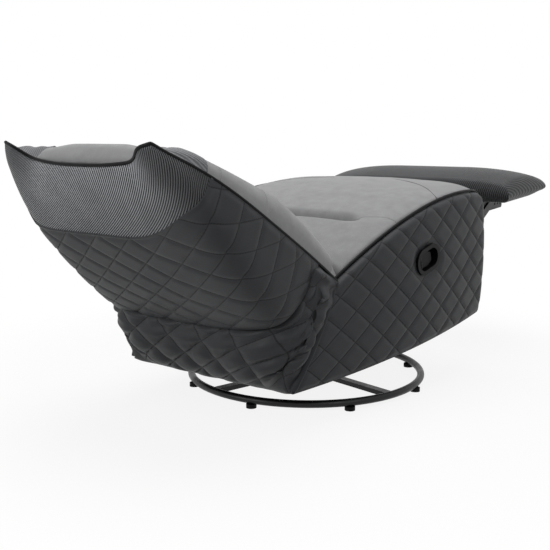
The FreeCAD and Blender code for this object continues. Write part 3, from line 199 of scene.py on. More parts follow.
def corner_drop(gap, radius):
    """Fall of a rounded corner at a distance from the end face."""
    reach = min(max(radius - gap, 0.0), radius)
    return radius - math.sqrt(radius ** 2 - reach ** 2)


def back_half(u):
    """Half width of the backrest at a height along it."""
    if u < BACK_HALF_MID_AT:
        return BACK_HALF_MID - (BACK_HALF_MID - BACK_HALF_LOW) * (1 - u / BACK_HALF_MID_AT) ** 2
    rise = (u - BACK_HALF_MID_AT) / (BACK_TOP - BACK_HALF_MID_AT)
    return BACK_HALF_MID - (BACK_HALF_MID - BACK_HALF_TOP) * rise ** WING_SWEEP


def deck(fwd):
    """Height of the spring deck that the seat pads rest on."""
    slope = (DECK_FRONT[1] - DECK_REAR[1]) / (DECK_FRONT[0] - DECK_REAR[0])
    return DECK_REAR[1] + slope * (fwd - DECK_REAR[0])


def spot(fwd, up, side):
    """Place from the side view and the distance from the middle plane, in metres."""
    return Vector((side, -fwd, up)) * MM


def back_spot(side, u, n):
    """Place in the backrest's own frame, in metres."""
    return spot(*CROOK, 0) + Matrix.Rotation(BACK_ANGLE, 3, "X") @ (Vector((side, u, n)) * MM)


def joint_place(name):
    """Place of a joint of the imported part."""
    return Vector([joint for joint in frame["joints"] if joint["name"] == name][0]["pos_m"])


def rest_spot(ahead, n, side):
    """Place in the footrest's own frame, in metres."""
    turn = Matrix.Rotation(REST_TURN, 3, "X")
    return joint_place("footrest_tilt") + turn @ (Vector((side, -ahead, n)) * MM)


def grain(place, size, seed=0.0):
    """Smooth unevenness between -1 and 1 at a size in millimetres."""
    return noise.noise(place / (size * MM) + Vector((seed, seed * 1.7, -seed)))


# Mesh helpers

def grid_mesh(columns, rows, place, pattern=None):
    """Sheet of quads laid by place(a, b), with UVs from pattern(a, b), and the (a, b) of each vertex."""
    bm = bmesh.new()
    bmesh.ops.create_grid(bm, x_segments=columns, y_segments=rows, size=0.5)
    spots = {}
    for vert in bm.verts:
        a = min(max(vert.co.x + 0.5, 0.0), 1.0)
        b = min(max(vert.co.y + 0.5, 0.0), 1.0)
        spots[vert] = (a, b)
        vert.co = place(a, b)
    if pattern:
        layer = bm.loops.layers.uv.new("quilt")
        for face in bm.faces:
            for loop in face.loops:
                loop[layer].uv = pattern(*spots[loop.vert])
    return bm, spots


def face_out(bm, centre):
    """Turn a sheet so that its faces look away from a centre."""
    bm.normal_update()
    out = sum((face.calc_center_median() - centre).dot(face.normal) * face.calc_area()
              for face in bm.faces)
    if out < 0:
        bmesh.ops.reverse_faces(bm, faces=bm.faces)
    bm.normal_update()


def raise_sheet(bm, spots, lift):
    """Raise a sheet along its normals by lift(a, b), in millimetres."""
    moves = [(vert, vert.normal * lift(*spots[vert]) * MM) for vert in bm.verts]
    for vert, move in moves:
        vert.co += move


def block_mesh(columns, rows, layers, place):
    """Closed block whose cube coordinates, each from -1 to 1, are laid by place(x, y, z)."""
    bm = bmesh.new()
    bmesh.ops.create_cube(bm, size=2)
    for axis, count in enumerate((columns, rows, layers)):
        edges = []
        for edge in bm.edges:
            run = edge.verts[1].co - edge.verts[0].co
            if abs(run[axis]) > 1e-6:
                edges.append(edge)
        bmesh.ops.subdivide_edges(bm, edges=edges, cuts=count - 1, use_grid_fill=True)
    for vert in bm.verts:
        vert.co = place(*vert.co)
    bmesh.ops.recalc_face_normals(bm, faces=bm.faces)
    return bm


def show(name, data):
    """New object in the scene, at the origin."""
    obj = bpy.data.objects.new(name, data)
    bpy.context.scene.collection.objects.link(obj)
    return obj


def settle(name, data, look, body, replaces):
    """Finished piece from its mesh or curve: material, slot, replaced nodes, the body it moves with."""
    data.materials.append(finish_for(look))
    obj = show(name, data)
    if replaces:
        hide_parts(*replaces)
    if body:
        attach(obj, body)
    return obj


def piece(name, bm, look, body=None, replaces=()):
    """Smooth piece made from a bmesh, which is freed."""
    mesh = bpy.data.meshes.new(name)
    bm.to_mesh(mesh)
    bm.free()
    mesh.shade_smooth()
    return settle(name, mesh, look, body, replaces)


def wall(obj, thickness):
    """Give a sheet its thickness, inwards."""
    solid = obj.modifiers.new("wall", "SOLIDIFY")
    solid.thickness = thickness * MM
    solid.offset = -1


def puff(p, q, height, power=7):
    """Height of a quilted diamond: stitched down along its lines, full in the middle."""
    across_p = abs(2 * (p - math.floor(p)) - 1)
    across_q = abs(2 * (q - math.floor(q)) - 1)
    return height * (1 - across_p ** power) * (1 - across_q ** power)


# Materials

MULTIPLIED = {"data_type": "RGBA", "blend_type": "MULTIPLY"}
WHITE = (1, 1, 1, 1)


def linear(code):
    """sRGB hex colour as linear RGBA."""
    values = [int(code[start:start + 2], 16) / 255 for start in (1, 3, 5)]
    return [v / 12.92 if v <= 0.04045 else ((v + 0.055) / 1.055) ** 2.4 for v in values] + [1.0]


def add(tree, kind, inputs=None, **settings):
    """Add a shader node whose inputs are values or linked outputs; returns its first output in use."""
    made = tree.nodes.new("ShaderNode" + kind)
    for key, value in settings.items():
        setattr(made, key, value)
    for key, value in (inputs or {}).items():
        if isinstance(value, bpy.types.NodeSocket):
            tree.links.new(value, made.inputs[key])
        else:
            made.inputs[key].default_value = value
    return next(output for output in made.outputs if output.enabled)


def wire(shader, **sockets):
    """Link outputs to a shader."""
    for key, output in sockets.items():
        shader.id_data.links.new(output, shader.inputs[key.replace("_", " ")])


def finish(name, colour, roughness, **sockets):
    """Material with a shader set to the values that hold all over it, and its object coordinates."""
    material = bpy.data.materials.new(name)
    material.use_nodes = True
    tree = material.node_tree
    shader = tree.nodes["Principled BSDF"]
    shader.inputs["Base Color"].default_value = colour
    shader.inputs["Roughness"].default_value = roughness
    for key, value in sockets.items():
        shader.inputs[key.replace("_", " ")].default_value = value
    return material, tree, shader, add(tree, "TexCoord").node.outputs["Object"]


def per_mm(size):
    """Texture scale for a pattern that repeats at a size in millimetres."""
    return 1 / (size * MM)


def cloud(tree, coords, size, detail, low, high, spread=0.2, roughness=0.5):
    """Value that drifts between low and high over patches of a size in millimetres."""
    drift = add(tree, "TexNoise", {"Vector": coords, "Scale": per_mm(size), "Detail": detail,
                                   "Roughness": roughness})
    return add(tree, "MapRange", {"Value": drift, "From Min": 0.5 - spread, "From Max": 0.5 + spread,
                                  "To Min": low, "To Max": high})


def quilt_lines(tree, diamond):
    """Distance in millimetres to the nearest quilting line, and the place along it."""
    uv = add(tree, "UVMap", uv_map="quilt")
    p, q, _z = add(tree, "SeparateXYZ", {0: uv}).node.outputs
    gaps = {}
    for axis, place in enumerate((p, q)):
        gap = add(tree, "Math", {0: place, 1: 0.5}, operation="PINGPONG")
        gaps[axis] = add(tree, "Math", {0: gap, 1: diamond}, operation="MULTIPLY")
    nearest = add(tree, "Math", gaps, operation="MINIMUM")
    on_p = add(tree, "Math", gaps, operation="LESS_THAN")
    return nearest, add(tree, "Mix", {0: on_p, 2: p, 3: q})


def hide_grain(tree, coords, strength):
    """Pebbled grain of embossed hide over finer creases, drawn coarser than real so that it shows."""
    cells = add(tree, "TexVoronoi", {"Vector": coords, "Scale": per_mm(2.6), "Randomness": 1.0},
                feature="SMOOTH_F1")
    fine = add(tree, "TexNoise", {"Vector": coords, "Scale": per_mm(0.9), "Detail": 3.0})
    creases = add(tree, "Math", {0: fine, 1: 0.35}, operation="MULTIPLY")
    height = add(tree, "Math", {0: cells, 1: creases}, operation="ADD")
    return add(tree, "Bump", {"Height": height, "Strength": strength, "Distance": 0.6 * MM})


def quilted_hide(colours, diamond):
    """Dark embossed faux leather: satin, softly pebbled, sewn in diamonds with dark thread."""
    material, tree, shader, coords = finish("quilted_faux_leather", colours.hide, 0.5, IOR=1.5,
                                            Specular_IOR_Level=0.2)
    nearest, along = quilt_lines(tree, diamond)
    tone = cloud(tree, coords, 90, 3.0, 0.9, 1.1)
    shade = add(tree, "Mix", {0: 1.0, 6: colours.hide, 7: tone}, **MULTIPLIED)
    seam = add(tree, "MapRange", {"Value": nearest, "From Min": 0.5, "From Max": 1.9},
               interpolation_type="SMOOTHSTEP")
    stitches = add(tree, "Math", {0: along, 1: STITCHES}, operation="MULTIPLY")
    dash = add(tree, "Math", {0: stitches, 1: 0.5}, operation="PINGPONG")
    dash_on = add(tree, "MapRange", {"Value": dash, "From Min": 0.14, "From Max": 0.2})
    thread = add(tree, "Mix", {0: dash_on, 6: colours.seam_shadow, 7: colours.thread},
                 data_type="RGBA")
    wire(shader, Base_Color=add(tree, "Mix", {0: seam, 6: thread, 7: shade}, data_type="RGBA"),
         Roughness=cloud(tree, coords, 90, 3.0, 0.45, 0.57), Normal=hide_grain(tree, coords, 0.25))
    return material


def plain_hide(name, colour, roughness):
    """Plain faux leather for piping, trim and thread."""
    material, tree, shader, coords = finish(name, colour, roughness, IOR=1.5, Specular_IOR_Level=0.1)
    wire(shader, Roughness=cloud(tree, coords, 25, 4.0, roughness - 0.07, roughness + 0.07),
         Normal=hide_grain(tree, coords, 0.2))
    return material


def ribbed_hide(name, dark, light, pitch):
    """Faux leather embossed with slanting ribs: light crowns, dark flanks, times the painted light and shade
    carried in the second UV.
    """
    material, tree, shader, coords = finish(name, dark, 0.45, IOR=1.5, Specular_IOR_Level=0.2)
    uv = add(tree, "UVMap", uv_map="quilt")
    # The second UV's tone is painted light: painted shade at the hood's rims and a painted sheen towards its top.
    # It stays even on the wings and footrest.
    rib, tone, _z = add(tree, "SeparateXYZ", {0: uv}).node.outputs
    turn = add(tree, "Math", {0: rib, 1: 2 * math.pi}, operation="MULTIPLY")
    wave = add(tree, "Math", {0: turn}, operation="SINE")
    crown = add(tree, "MapRange", {"Value": wave, "From Min": -0.55, "From Max": 0.75},
                interpolation_type="SMOOTHSTEP")
    stripes = add(tree, "Mix", {0: crown, 6: dark, 7: light}, data_type="RGBA")
    # Random patchiness times the painted light and shade of the tone.
    shade = add(tree, "Math", {0: cloud(tree, coords, 60, 2.0, 0.85, 1.1), 1: tone},
                operation="MULTIPLY")
    wire(shader, Base_Color=add(tree, "Mix", {0: 1.0, 6: stripes, 7: shade}, **MULTIPLIED),
         Normal=add(tree, "Bump", {"Height": crown, "Strength": 0.8, "Distance": pitch * 0.22}))
    return material


def napped_cloth(colours):
    """Brushed microfibre: matt, slightly cloudy where the nap lies another way."""
    material, tree, shader, coords = finish("brushed_microfibre", colours.nap, 0.85, IOR=1.45,
                                            Sheen_Weight=0.25, Sheen_Roughness=0.45,
                                            Specular_IOR_Level=0.25)
    broad = cloud(tree, coords, 34, 5.0, 0.9, 1.08, roughness=0.6)
    fine = cloud(tree, coords, 2.5, 4.0, 0.93, 1.07, 0.25, 0.7)
    fleck = fine.node.inputs["Value"].links[0].from_socket
    tone = add(tree, "Math", {0: broad, 1: fine}, operation="MULTIPLY")
    wire(shader, Base_Color=add(tree, "Mix", {0: 1.0, 6: colours.nap, 7: tone}, **MULTIPLIED),
         Normal=add(tree, "Bump", {"Height": fleck, "Strength": 0.3, "Distance": 0.8 * MM}))
    return material


def coated_steel(name, colour, roughness, metallic, grit):
    """Steel with a fine uneven skin: powder coat, plating or bare metal by its colour and metalness."""
    material, tree, shader, coords = finish(name, colour, roughness, Metallic=metallic,
                                            Specular_IOR_Level=0.28)
    skin = add(tree, "TexNoise", {"Vector": coords, "Scale": per_mm(grit), "Detail": 4.0})
    wire(shader, Roughness=cloud(tree, coords, 40, 5.0, roughness - 0.08, roughness + 0.1),
         Normal=add(tree, "Bump", {"Height": skin, "Strength": 0.15, "Distance": 0.4 * MM}))
    return material


def sawn_timber(colours):
    """Dark stained softwood of the seat box: straight grain along the rail, dull."""
    material, tree, shader, coords = finish("sawn_timber", colours.timber, 0.7)
    stretch = add(tree, "Mapping", {"Vector": coords, "Scale": (1.0, 0.08, 1.0)})
    rings = add(tree, "TexNoise", {"Vector": stretch, "Scale": per_mm(5), "Detail": 5.0, "Distortion": 0.4})
    wire(shader, Base_Color=add(tree, "Mix", {0: rings, 6: colours.timber_dark, 7: colours.timber},
                                data_type="RGBA"),
         Normal=add(tree, "Bump", {"Height": rings, "Strength": 0.3, "Distance": 0.5 * MM}))
    return material


def moulded_plastic(name, colour, roughness):
    """Moulded plastic with a spark-eroded texture, drawn coarser than real so that it shows."""
    material, tree, shader, coords = finish(name, colour, roughness, IOR=1.53, Specular_IOR_Level=0.1)
    sheen = cloud(tree, coords, 0.8, 2.0, roughness - 0.06, roughness + 0.06)
    spark = sheen.node.inputs["Value"].links[0].from_socket
    wire(shader, Roughness=sheen,
         Normal=add(tree, "Bump", {"Height": spark, "Strength": 0.2, "Distance": 0.2 * MM}))
    return material


def woven_webbing(colours):
    """Elastic webbing: close weave of dark thread, drawn coarser than real so that it shows."""
    material, tree, shader, coords = finish("woven_webbing", colours.webbing, 0.9)
    weave = add(tree, "TexWave", {"Vector": coords, "Scale": per_mm(40), "Distortion": 0.5})
    tone = add(tree, "MapRange", {"Value": weave, "To Min": 0.7, "To Max": 1.2})
    wire(shader, Base_Color=add(tree, "Mix", {0: 1.0, 6: colours.webbing, 7: tone}, **MULTIPLIED),
         Normal=add(tree, "Bump", {"Height": weave, "Strength": 0.5, "Distance": 0.6 * MM}))
    return material


def finish_for(look):
    """The material of a slot of the record, or of trim that shares a slot, made once."""
    sizes, colours = bpy.context.scene.recliner_sizes, bpy.context.scene.recliner_colours
    if look not in FINISHES:
        diamond = 1 / math.hypot(MM / sizes.quilt_width, MM / sizes.quilt_height)
        pitch = sizes.rib_pitch
        makers = {
            "quilted_hide": (quilted_hide, colours, diamond),
            # The hood's copy of the ribbed hide carries painted light: a painted sheen in its bright crowns, and
            # painted shade and sheen in its tone.
            "ribbed_hide": (ribbed_hide, "ribbed_faux_leather", colours.rib_dark, colours.rib_crown_and_sheen, pitch),
            "ribbed_wing": (ribbed_hide, "ribbed_wing_faux_leather", colours.wing_dark, colours.wing_light,
                            pitch),
            "ribbed_rest": (ribbed_hide, "ribbed_rest_faux_leather", colours.rest_dark, colours.rest_light,
                            REST_RIBS * pitch),
            "soft_grey": (napped_cloth, colours),
            "piping_hide": (plain_hide, "piping_faux_leather", colours.piping, 0.42),
            "trim_hide": (plain_hide, "trim_faux_leather", colours.hide, 0.5),
            "seam_thread": (plain_hide, "sewing_thread", colours.seam_grey, 0.7),
            "black_steel": (coated_steel, "powder_coated_steel", colours.steel, 0.36, 0.0, 0.7),
            "bright_steel": (coated_steel, "zinc_plated_steel", colours.zinc, 0.34, 1.0, 1.5),
            "bronze": (coated_steel, "oiled_bronze", colours.bronze, 0.38, 1.0, 1.0),
            "timber": (sawn_timber, colours),
            "glide": (moulded_plastic, "moulded_nylon", colours.plastic, 0.55),
            "black_plastic": (moulded_plastic, "moulded_abs", colours.plastic, 0.42),
            "webbing": (woven_webbing, colours),
        }
        maker, *values = makers[look]
        FINISHES[look] = maker(*values)
    return FINISHES[look]


FINISHES = {}


# Sizes and colours that a user would change

def length(name, about, default):
    return bpy.props.FloatProperty(name=name, description=about, default=default, min=0.0, unit="LENGTH")


def colour(name, about, code):
    return bpy.props.FloatVectorProperty(name=name, description=about, default=linear(code), size=4,
                                         min=0.0, max=1.0, subtype="COLOR")


class ReclinerSizes(bpy.types.PropertyGroup):
    quilt_width: length("Diamond width", "Width of one quilted diamond", 0.104)
    quilt_height: length("Diamond height", "Height of one quilted diamond", 0.078)
    quilt_puff: length("Diamond puff", "How far a diamond stands over its stitching", 0.0045)
    rib_pitch: length("Rib pitch", "Distance between ribs of the hood and wings", 0.0038)
    piping_diameter: length("Piping diameter", "Thickness of the sewn piping", 0.0072)
    tuck_depth: length("Tuck depth", "Depth of the tuck across the seat", 0.062)
    seat_crown: length("Seat crown", "Rise of the seat over its edges", 0.012)


class ReclinerColours(bpy.types.PropertyGroup):
    hide: colour("Quilted hide", "Dark faux leather of sides and back", "#393a3c")
    seam_shadow: colour("Seam", "Hide drawn into the stitch line", "#121314")
    thread: colour("Thread", "Quilting thread", "#222326")
    seam_grey: colour("Seat seams", "Sewn seams of the seat cloth", "#5e5e60")
    nap: colour("Seat cloth", "Light grey microfibre of seat and back", "#979798")
    # The hood's rib colours are the lit copy of the ribbed hide: its silver crown colour is partly a painted
    # sheen. The wing and footrest copies of the same hide are set lighter and darker.
    rib_dark: colour("Rib flank", "Dark flank of the ribs on the hood", "#242628")
    rib_crown_and_sheen: colour("Rib crown", "Light crown of the ribs on the hood", "#c0c2c6")
    wing_dark: colour("Wing flank", "Dark flank of the ribs inside the wings", "#626366")
    wing_light: colour("Wing crown", "Light crown of the ribs inside the wings", "#838588")
    rest_dark: colour("Footrest flank", "Dark flank of the footrest ribs", "#212223")
    rest_light: colour("Footrest crown", "Light crown of the footrest ribs", "#4f5052")
    piping: colour("Piping", "Piping round seat and back", "#0d0e0f")
    steel: colour("Steel", "Powder coat of ring and frame", "#0e0f10")
    zinc: colour("Zinc", "Plated links and springs", "#b9bbbd")
    bronze: colour("Bronze", "Bearing metal", "#9a7a46")
    plastic: colour("Plastic", "Handle, cup and glides", "#0b0b0c")
    timber: colour("Timber", "Seat box", "#4d4239")
    timber_dark: colour("Timber grain", "Dark grain of the seat box", "#372f29")
    webbing: colour("Webbing", "Elastic straps of the back", "#2a2a2c")
    floor: colour("Floor", "Studio floor", "#fafafa")
    floor_bounce: colour("Floor bounce", "Studio floor as it lights the object", "#8c8c8c")


class ReclinerStage(bpy.types.PropertyGroup):
    lens: bpy.props.FloatProperty(name="Lens", description="Focal length on a 36 mm square sensor",
                                  default=56.2)
    stand: bpy.props.FloatVectorProperty(name="Camera place", description="Where the camera stands",
                                         default=(-1.355, 1.877, 0.663), subtype="TRANSLATION",
                                         unit="LENGTH")
    heading: bpy.props.FloatProperty(name="Heading", description="Camera heading from +X towards +Y",
                                     default=math.atan2(-0.789, 0.615), subtype="ANGLE")
    pitch: bpy.props.FloatProperty(name="Pitch", description="How far the camera looks down",
                                   default=math.radians(9.3), subtype="ANGLE")


# Backrest shell

@functools.lru_cache(maxsize=None)
def shell_section(u):
    """Outside of the shell cut across at a height: run along it, side and depth at each sample."""
    half, depth = back_half(u), max(shell_depth(u), SHELL_LEAST_DEPTH)
    power = 2 / between(SHELL_BOX_LOW, SHELL_BOX_TOP, ease((u - SHELL_BOX_FROM) / SHELL_BOX_RUN))
    angle = np.linspace(0, math.pi, SECTION_SAMPLES)
    cos, sin = np.cos(angle), np.sin(angle)
    side = -half * np.sign(cos) * np.abs(cos) ** power
    n = -depth * np.abs(sin) ** power
    run = np.concatenate(([0], np.cumsum(np.hypot(np.diff(side), np.diff(n)))))
    return run, side, n


@functools.lru_cache(maxsize=None)
def shell_at(share, u):
    """Side, depth and whole run of the shell at a share of the way round it."""
    low = math.floor(u)
    found = []
    for level in (low, low + 1):
        run, side, n = shell_section(level)
        at = share * run[-1]
        found.append((np.interp(at, run, side), np.interp(at, run, n), run[-1]))
    return [between(a, b, u - low) for a, b in zip(*found)]


def shell_low(share):
    """Height of the shell's lower edge, drawn up at its right rear corner."""
    spread = 0.1 if share < HEM_CORNER_AT else 0.15
    return SHELL_HEM + HEM_CORNER_RISE * math.exp(-((share - HEM_CORNER_AT) / spread) ** 2)


def top_edge(side):
    """Height of the upper edge at a distance from the middle: level behind the head, rising to the tips."""
    start, run = TIP_RUN_RIGHT if side < 0 else TIP_RUN_LEFT
    return TOP_EDGE + TIP_RISE * ease((abs(side) - start) / run)


@functools.lru_cache(maxsize=None)
def shell_top(share):
    """Height of the shell's upper edge."""
    return top_edge(shell_at(share, BACK_TOP - 20)[0])


def hood_seam(share):
    """Height where the quilted cover ends and the ribbed hood begins: it climbs towards the rim."""
    right, left = HOOD_CLIMB_RIGHT, HOOD_CLIMB_LEFT
    climb = ease((right[0] - share) / right[1]) ** 1.3 + ease((share - left[0]) / left[1])
    return HOOD_SEAM + HOOD_SEAM_RISE * climb


def edge_depth(side):
    """Depth of the upper edge at a distance from the middle: it comes forward towards the tips."""
    return TOP_EDGE_LIFT * min(abs(side) / BACK_HALF_TOP, 1) ** 2.5 - TOP_EDGE_DEPTH


def shell_place(share, u):
    """Side, height and depth on the outside of the shell, which rolls over to its upper edge."""
    side, n, _run = shell_at(share, u)
    rolled = corner_drop(shell_top(share) - u, TOP_ROLL) / TOP_ROLL
    return side, u, between(n, edge_depth(side), rolled)


def shell_spot(share, u):
    """Place on the outside of the shell."""
    return back_spot(*shell_place(share, u))


def shell_pattern(share, u, sizes):
    """Quilt coordinates on the shell: whole numbers lie on the stitched lines."""
    _side, _n, run = shell_at(share, u)
    across, up = (share - 0.5) * run - SHELL_CROSSING[0], u - SHELL_CROSSING[1]
    if across < -QUILT_DRAWN_FROM:
        up -= np.interp(-across - SHELL_CROSSING[0], *QUILT_DRAWN)
        across = between(-QUILT_DRAWN_FROM, across, 0.79)
    across = across * MM / (sizes.quilt_width * SHELL_DIAMOND[0])
    up = up * MM / (sizes.quilt_height * SHELL_DIAMOND[1])
    return across + up, across - up


class RECLINER_OT_back_shell(bpy.types.Operator):
    """Quilted cover and ribbed hood of the backrest"""
    bl_idname = "recliner.back_shell"
    bl_label = "Back shell"

    def execute(self, context):
        sizes = context.scene.recliner_sizes
        centre = back_spot(0, 300, 0)

        def cover_u(a, b):
            return between(shell_low(a), hood_seam(a), b)

        def hood_u(a, b):
            return between(hood_seam(a), shell_top(a), b)

        def cover_lift(a, b):
            edge = min(b, 1 - b) * COVER_TALL
            rim = min(a, 1 - a) * COVER_ROUND
            flat = ease(edge / 16) * ease(rim / 16)
            hem = 3 * (1 - ease((1 - b) * COVER_TALL / 5))
            lines = shell_pattern(a, cover_u(a, b), sizes)
            return puff(*lines, 0.75 * sizes.quilt_puff / MM) * flat + hem

        bm, spots = grid_mesh(250, 96, lambda a, b: shell_spot(a, cover_u(a, b)),
                              lambda a, b: shell_pattern(a, cover_u(a, b), sizes))
        face_out(bm, centre)
        raise_sheet(bm, spots, cover_lift)
        cover = piece("back_cover_quilted", bm, "quilted_hide", "back", ["back_cover"])
        wall(cover, SHELL_WALL)

        def rib_pattern(a, b):
            across = (a - 0.5) * shell_at(a, 480)[2] * MM
            # Painted light on the hood, carried in the second UV: painted shade darkens the ribs towards both
            # rims, and a painted sheen lightens them towards the upper edge.
            painted_rim_shade = between(0.34, 1, ease((min(a, 1 - a) - 0.06) / 0.2))
            tone = between(0.75, 1.15, ease(b * 1.1)) * painted_rim_shade
            return (across * 0.56 + hood_u(a, b) * MM * 0.83) / sizes.rib_pitch, tone

        bm, spots = grid_mesh(220, 56, lambda a, b: shell_spot(a, hood_u(a, b)), rib_pattern)
        face_out(bm, centre)
        hood = piece("back_hood_ribbed", bm, "ribbed_hide", "back", ["back_hood"])
        wall(hood, SHELL_WALL)
        return {"FINISHED"}


# Seat sides

def side_pattern(fwd, up, sizes):
    """Quilt coordinates on a side panel, with a crossing of its lines at a place in the side view."""
    across = (fwd - SIDE_CROSSING[0]) * MM / (sizes.quilt_width * SIDE_DIAMOND)
    rise = (up - SIDE_CROSSING[1]) * MM / (sizes.quilt_height * SIDE_DIAMOND)
    return across + rise, across - rise


def side_view(a, b):
    """Side-view place on a side panel: a from the rear seam to the front, b from hem to top edge."""
    low_fwd = between(HEM_REAR[0] + 5, FRONT_FWD, a)
    top_fwd = between(CROOK[0], FRONT_FWD, a)
    low = hem_line(low_fwd) + corner_drop(FRONT_FWD - low_fwd, FRONT_LOW_ROUND)
    top = seat_edge(top_fwd) - corner_drop(FRONT_FWD - top_fwd, FRONT_TOP_ROUND)
    return between(low_fwd, top_fwd, b), between(low, top, b), top - low


def panel_side(fwd, b, tall):
    """Distance of a side panel from the middle plane: bulged between its edges, rolled in at the top."""
    bulge = COVER_BULGE * (1 - (2 * b - 1) ** 2)
    rolled = COVER_ROLL * corner_drop((1 - b) * tall, PANEL_TOP_ROUND) / PANEL_TOP_ROUND
    nose = PANEL_NOSE_IN * corner_drop(FRONT_FWD - fwd, PANEL_NOSE_ROUND) / PANEL_NOSE_ROUND
    return body_half(fwd) + bulge - rolled - nose


class RECLINER_OT_side_covers(bpy.types.Operator):
    """Quilted side panels of the seat, the right one open for the release cup"""
    bl_idname = "recliner.side_covers"
    bl_label = "Side covers"

    def execute(self, context):
        sizes = context.scene.recliner_sizes

        def lift(a, b):
            fwd, up, tall = side_view(a, b)
            flat = ease(a * PANEL_LONG / 14) * ease((1 - a) * PANEL_LONG / 40)
            flat *= ease(min(b, 1 - b) * tall / 16)
            return puff(*side_pattern(fwd, up, sizes), sizes.quilt_puff / MM) * flat

        def lift_round_cup(a, b):
            fwd, up, _tall = side_view(a, b)
            gap = cup_gap(fwd, up)
            return lift(a, b) * ease((gap - 4) / 24) - 2 * (1 - ease(gap / 20))

        def pattern(a, b):
            fwd, up, _tall = side_view(a, b)
            return side_pattern(fwd, up, sizes)

        for name, sign in (("left", 1), ("right", -1)):
            def place(a, b):
                fwd, up, tall = side_view(a, b)
                return spot(fwd, up, sign * panel_side(fwd, b, tall))

            bm, spots = grid_mesh(216, 92, place, pattern)
            face_out(bm, Vector((0, 0, 0.3)))
            raise_sheet(bm, spots, lift if sign > 0 else lift_round_cup)
            if sign < 0:
                inside = [face for face in bm.faces if in_cup(face.calc_center_median())]
                bmesh.ops.delete(bm, geom=inside, context="FACES")
            node = "side_cover_" + name
            panel = piece(node + "_quilted", bm, "quilted_hide", "seat", [node])
            wall(panel, PANEL_WALL)
        rolls = []
        for sign in (-1, 1):
            rolls.append([rear_roll(sign, between(0.03, 1, step / 16)) for step in range(17)])
        sewn_line("rear_seam_rolls", rolls, 17, "trim_hide", "seat")
        return {"FINISHED"}


def rear_roll(sign, b):
    """Place on the rolled seam where a side panel meets the apron: b from hem to crook."""
    fwd, up, tall = side_view(0, b)
    return spot(fwd - 5, up, sign * (panel_side(fwd, b, tall) - 3))


def cup_gap(fwd, up):
    """Distance in the side view outside the opening for the release cup, negative inside it."""
    fwd, up = fwd - CUP[0], up - CUP[1]
    along = fwd * math.cos(CUP_TILT) + up * math.sin(CUP_TILT)
    across = up * math.cos(CUP_TILT) - fwd * math.sin(CUP_TILT)
    radius = CUP_OPENING[1] / 2
    reach = CUP_OPENING[0] / 2 - radius
    return math.hypot(max(abs(along) - reach, 0), across) - radius


def in_cup(place):
    """Whether a place on the right side lies over the release cup."""
    return cup_gap(-place.y / MM, place.z / MM) < 0


# Rear apron

APRON_TOP = [(287, 0, 1), (291, 60, 1), (292, 112, -4), (284, 116, -66), (262, 124, -124),
             (205, 124, -158), (105, 118, -168), (0, 114, -170)]
APRON_LOW = [(-404, 94, 253), (-402, 91, 240), (-397, 88, 226), (-391, 86, 205), (-382, 84, 175),
             (-372, 82, 140), (-359, 79, 75), (-352, 77, 0)]
APRON_TALL = 200
APRON_WALL = 5
APRON_STEPS = 60
FOLD_PITCH = 34
FOLD_FADE = 46


def along_points(points, share):
    """Smooth place along a list of points."""
    run = share * (len(points) - 1)
    index = min(int(run), len(points) - 2)
    near = [points[min(max(index + step, 0), len(points) - 1)] for step in (-1, 0, 1, 2)]
    t = run - index
    weights = (-0.5 * t + t * t - 0.5 * t ** 3, 1 - 2.5 * t * t + 1.5 * t ** 3,
               0.5 * t + 2 * t * t - 1.5 * t ** 3, -0.5 * t * t + 0.5 * t ** 3)
    return sum((point * weight for point, weight in zip(near, weights)), Vector((0, 0, 0)))


def apron_spot(a, b):
    """Place on the apron: a from the right rear seam round the back to the left, b from hem to top."""
    share = 1 - abs(2 * a - 1)
    sign = -1 if a < 0.5 else 1
    top = along_points([back_spot(side, u, n) for side, u, n in APRON_TOP], share)
    low = along_points([spot(fwd, up, side) for fwd, up, side in APRON_LOW], share)
    place = low.lerp(top, b)
    return Vector((sign * place.x, place.y, place.z))


@functools.lru_cache(maxsize=None)
def apron_run(b):
    """Distance from the middle of the back along the apron at a height, at each share."""
    places = [apron_spot(0.5 - 0.5 * step / APRON_STEPS, b) for step in range(APRON_STEPS + 1)]
    run = [0.0]
    for start, end in zip(places, places[1:]):
        run.append(run[-1] + (end - start).length / MM)
    return run


def apron_across(a):
    """Distance from the middle of the back along the apron, in millimetres, negative on the right."""
    run = np.interp(abs(2 * a - 1) * APRON_STEPS, range(APRON_STEPS + 1), apron_run(0.5))
    return run if a > 0.5 else -run


def apron_folds(a, b):
    """Loose cloth of the apron: a full belly, a lip and folds under the shell, all easing off towards the rear
    seams.
    """
    share = 1 - abs(2 * a - 1)
    belly = 84 * b ** 0.6 * (1 - b) ** 0.6 * ease(share / (0.2 if a < 0.5 else 0.07))
    below = (1 - b) * APRON_TALL
    loose = 3 + 7 * ease(share / 0.12) * (1 - ease((share - 0.45) / 0.25))
    sway = 10 * grain(apron_spot(a, b), 90, 2.0)
    folds = loose * math.cos(2 * math.pi * (below + sway - 9) / FOLD_PITCH)
    folds *= math.exp(-below / FOLD_FADE) * ease(below / 8)
    crease = 12 * (1 - ease(below / 16)) * ease(share / 0.3)
    return belly + folds * ease(share / 0.05) - crease


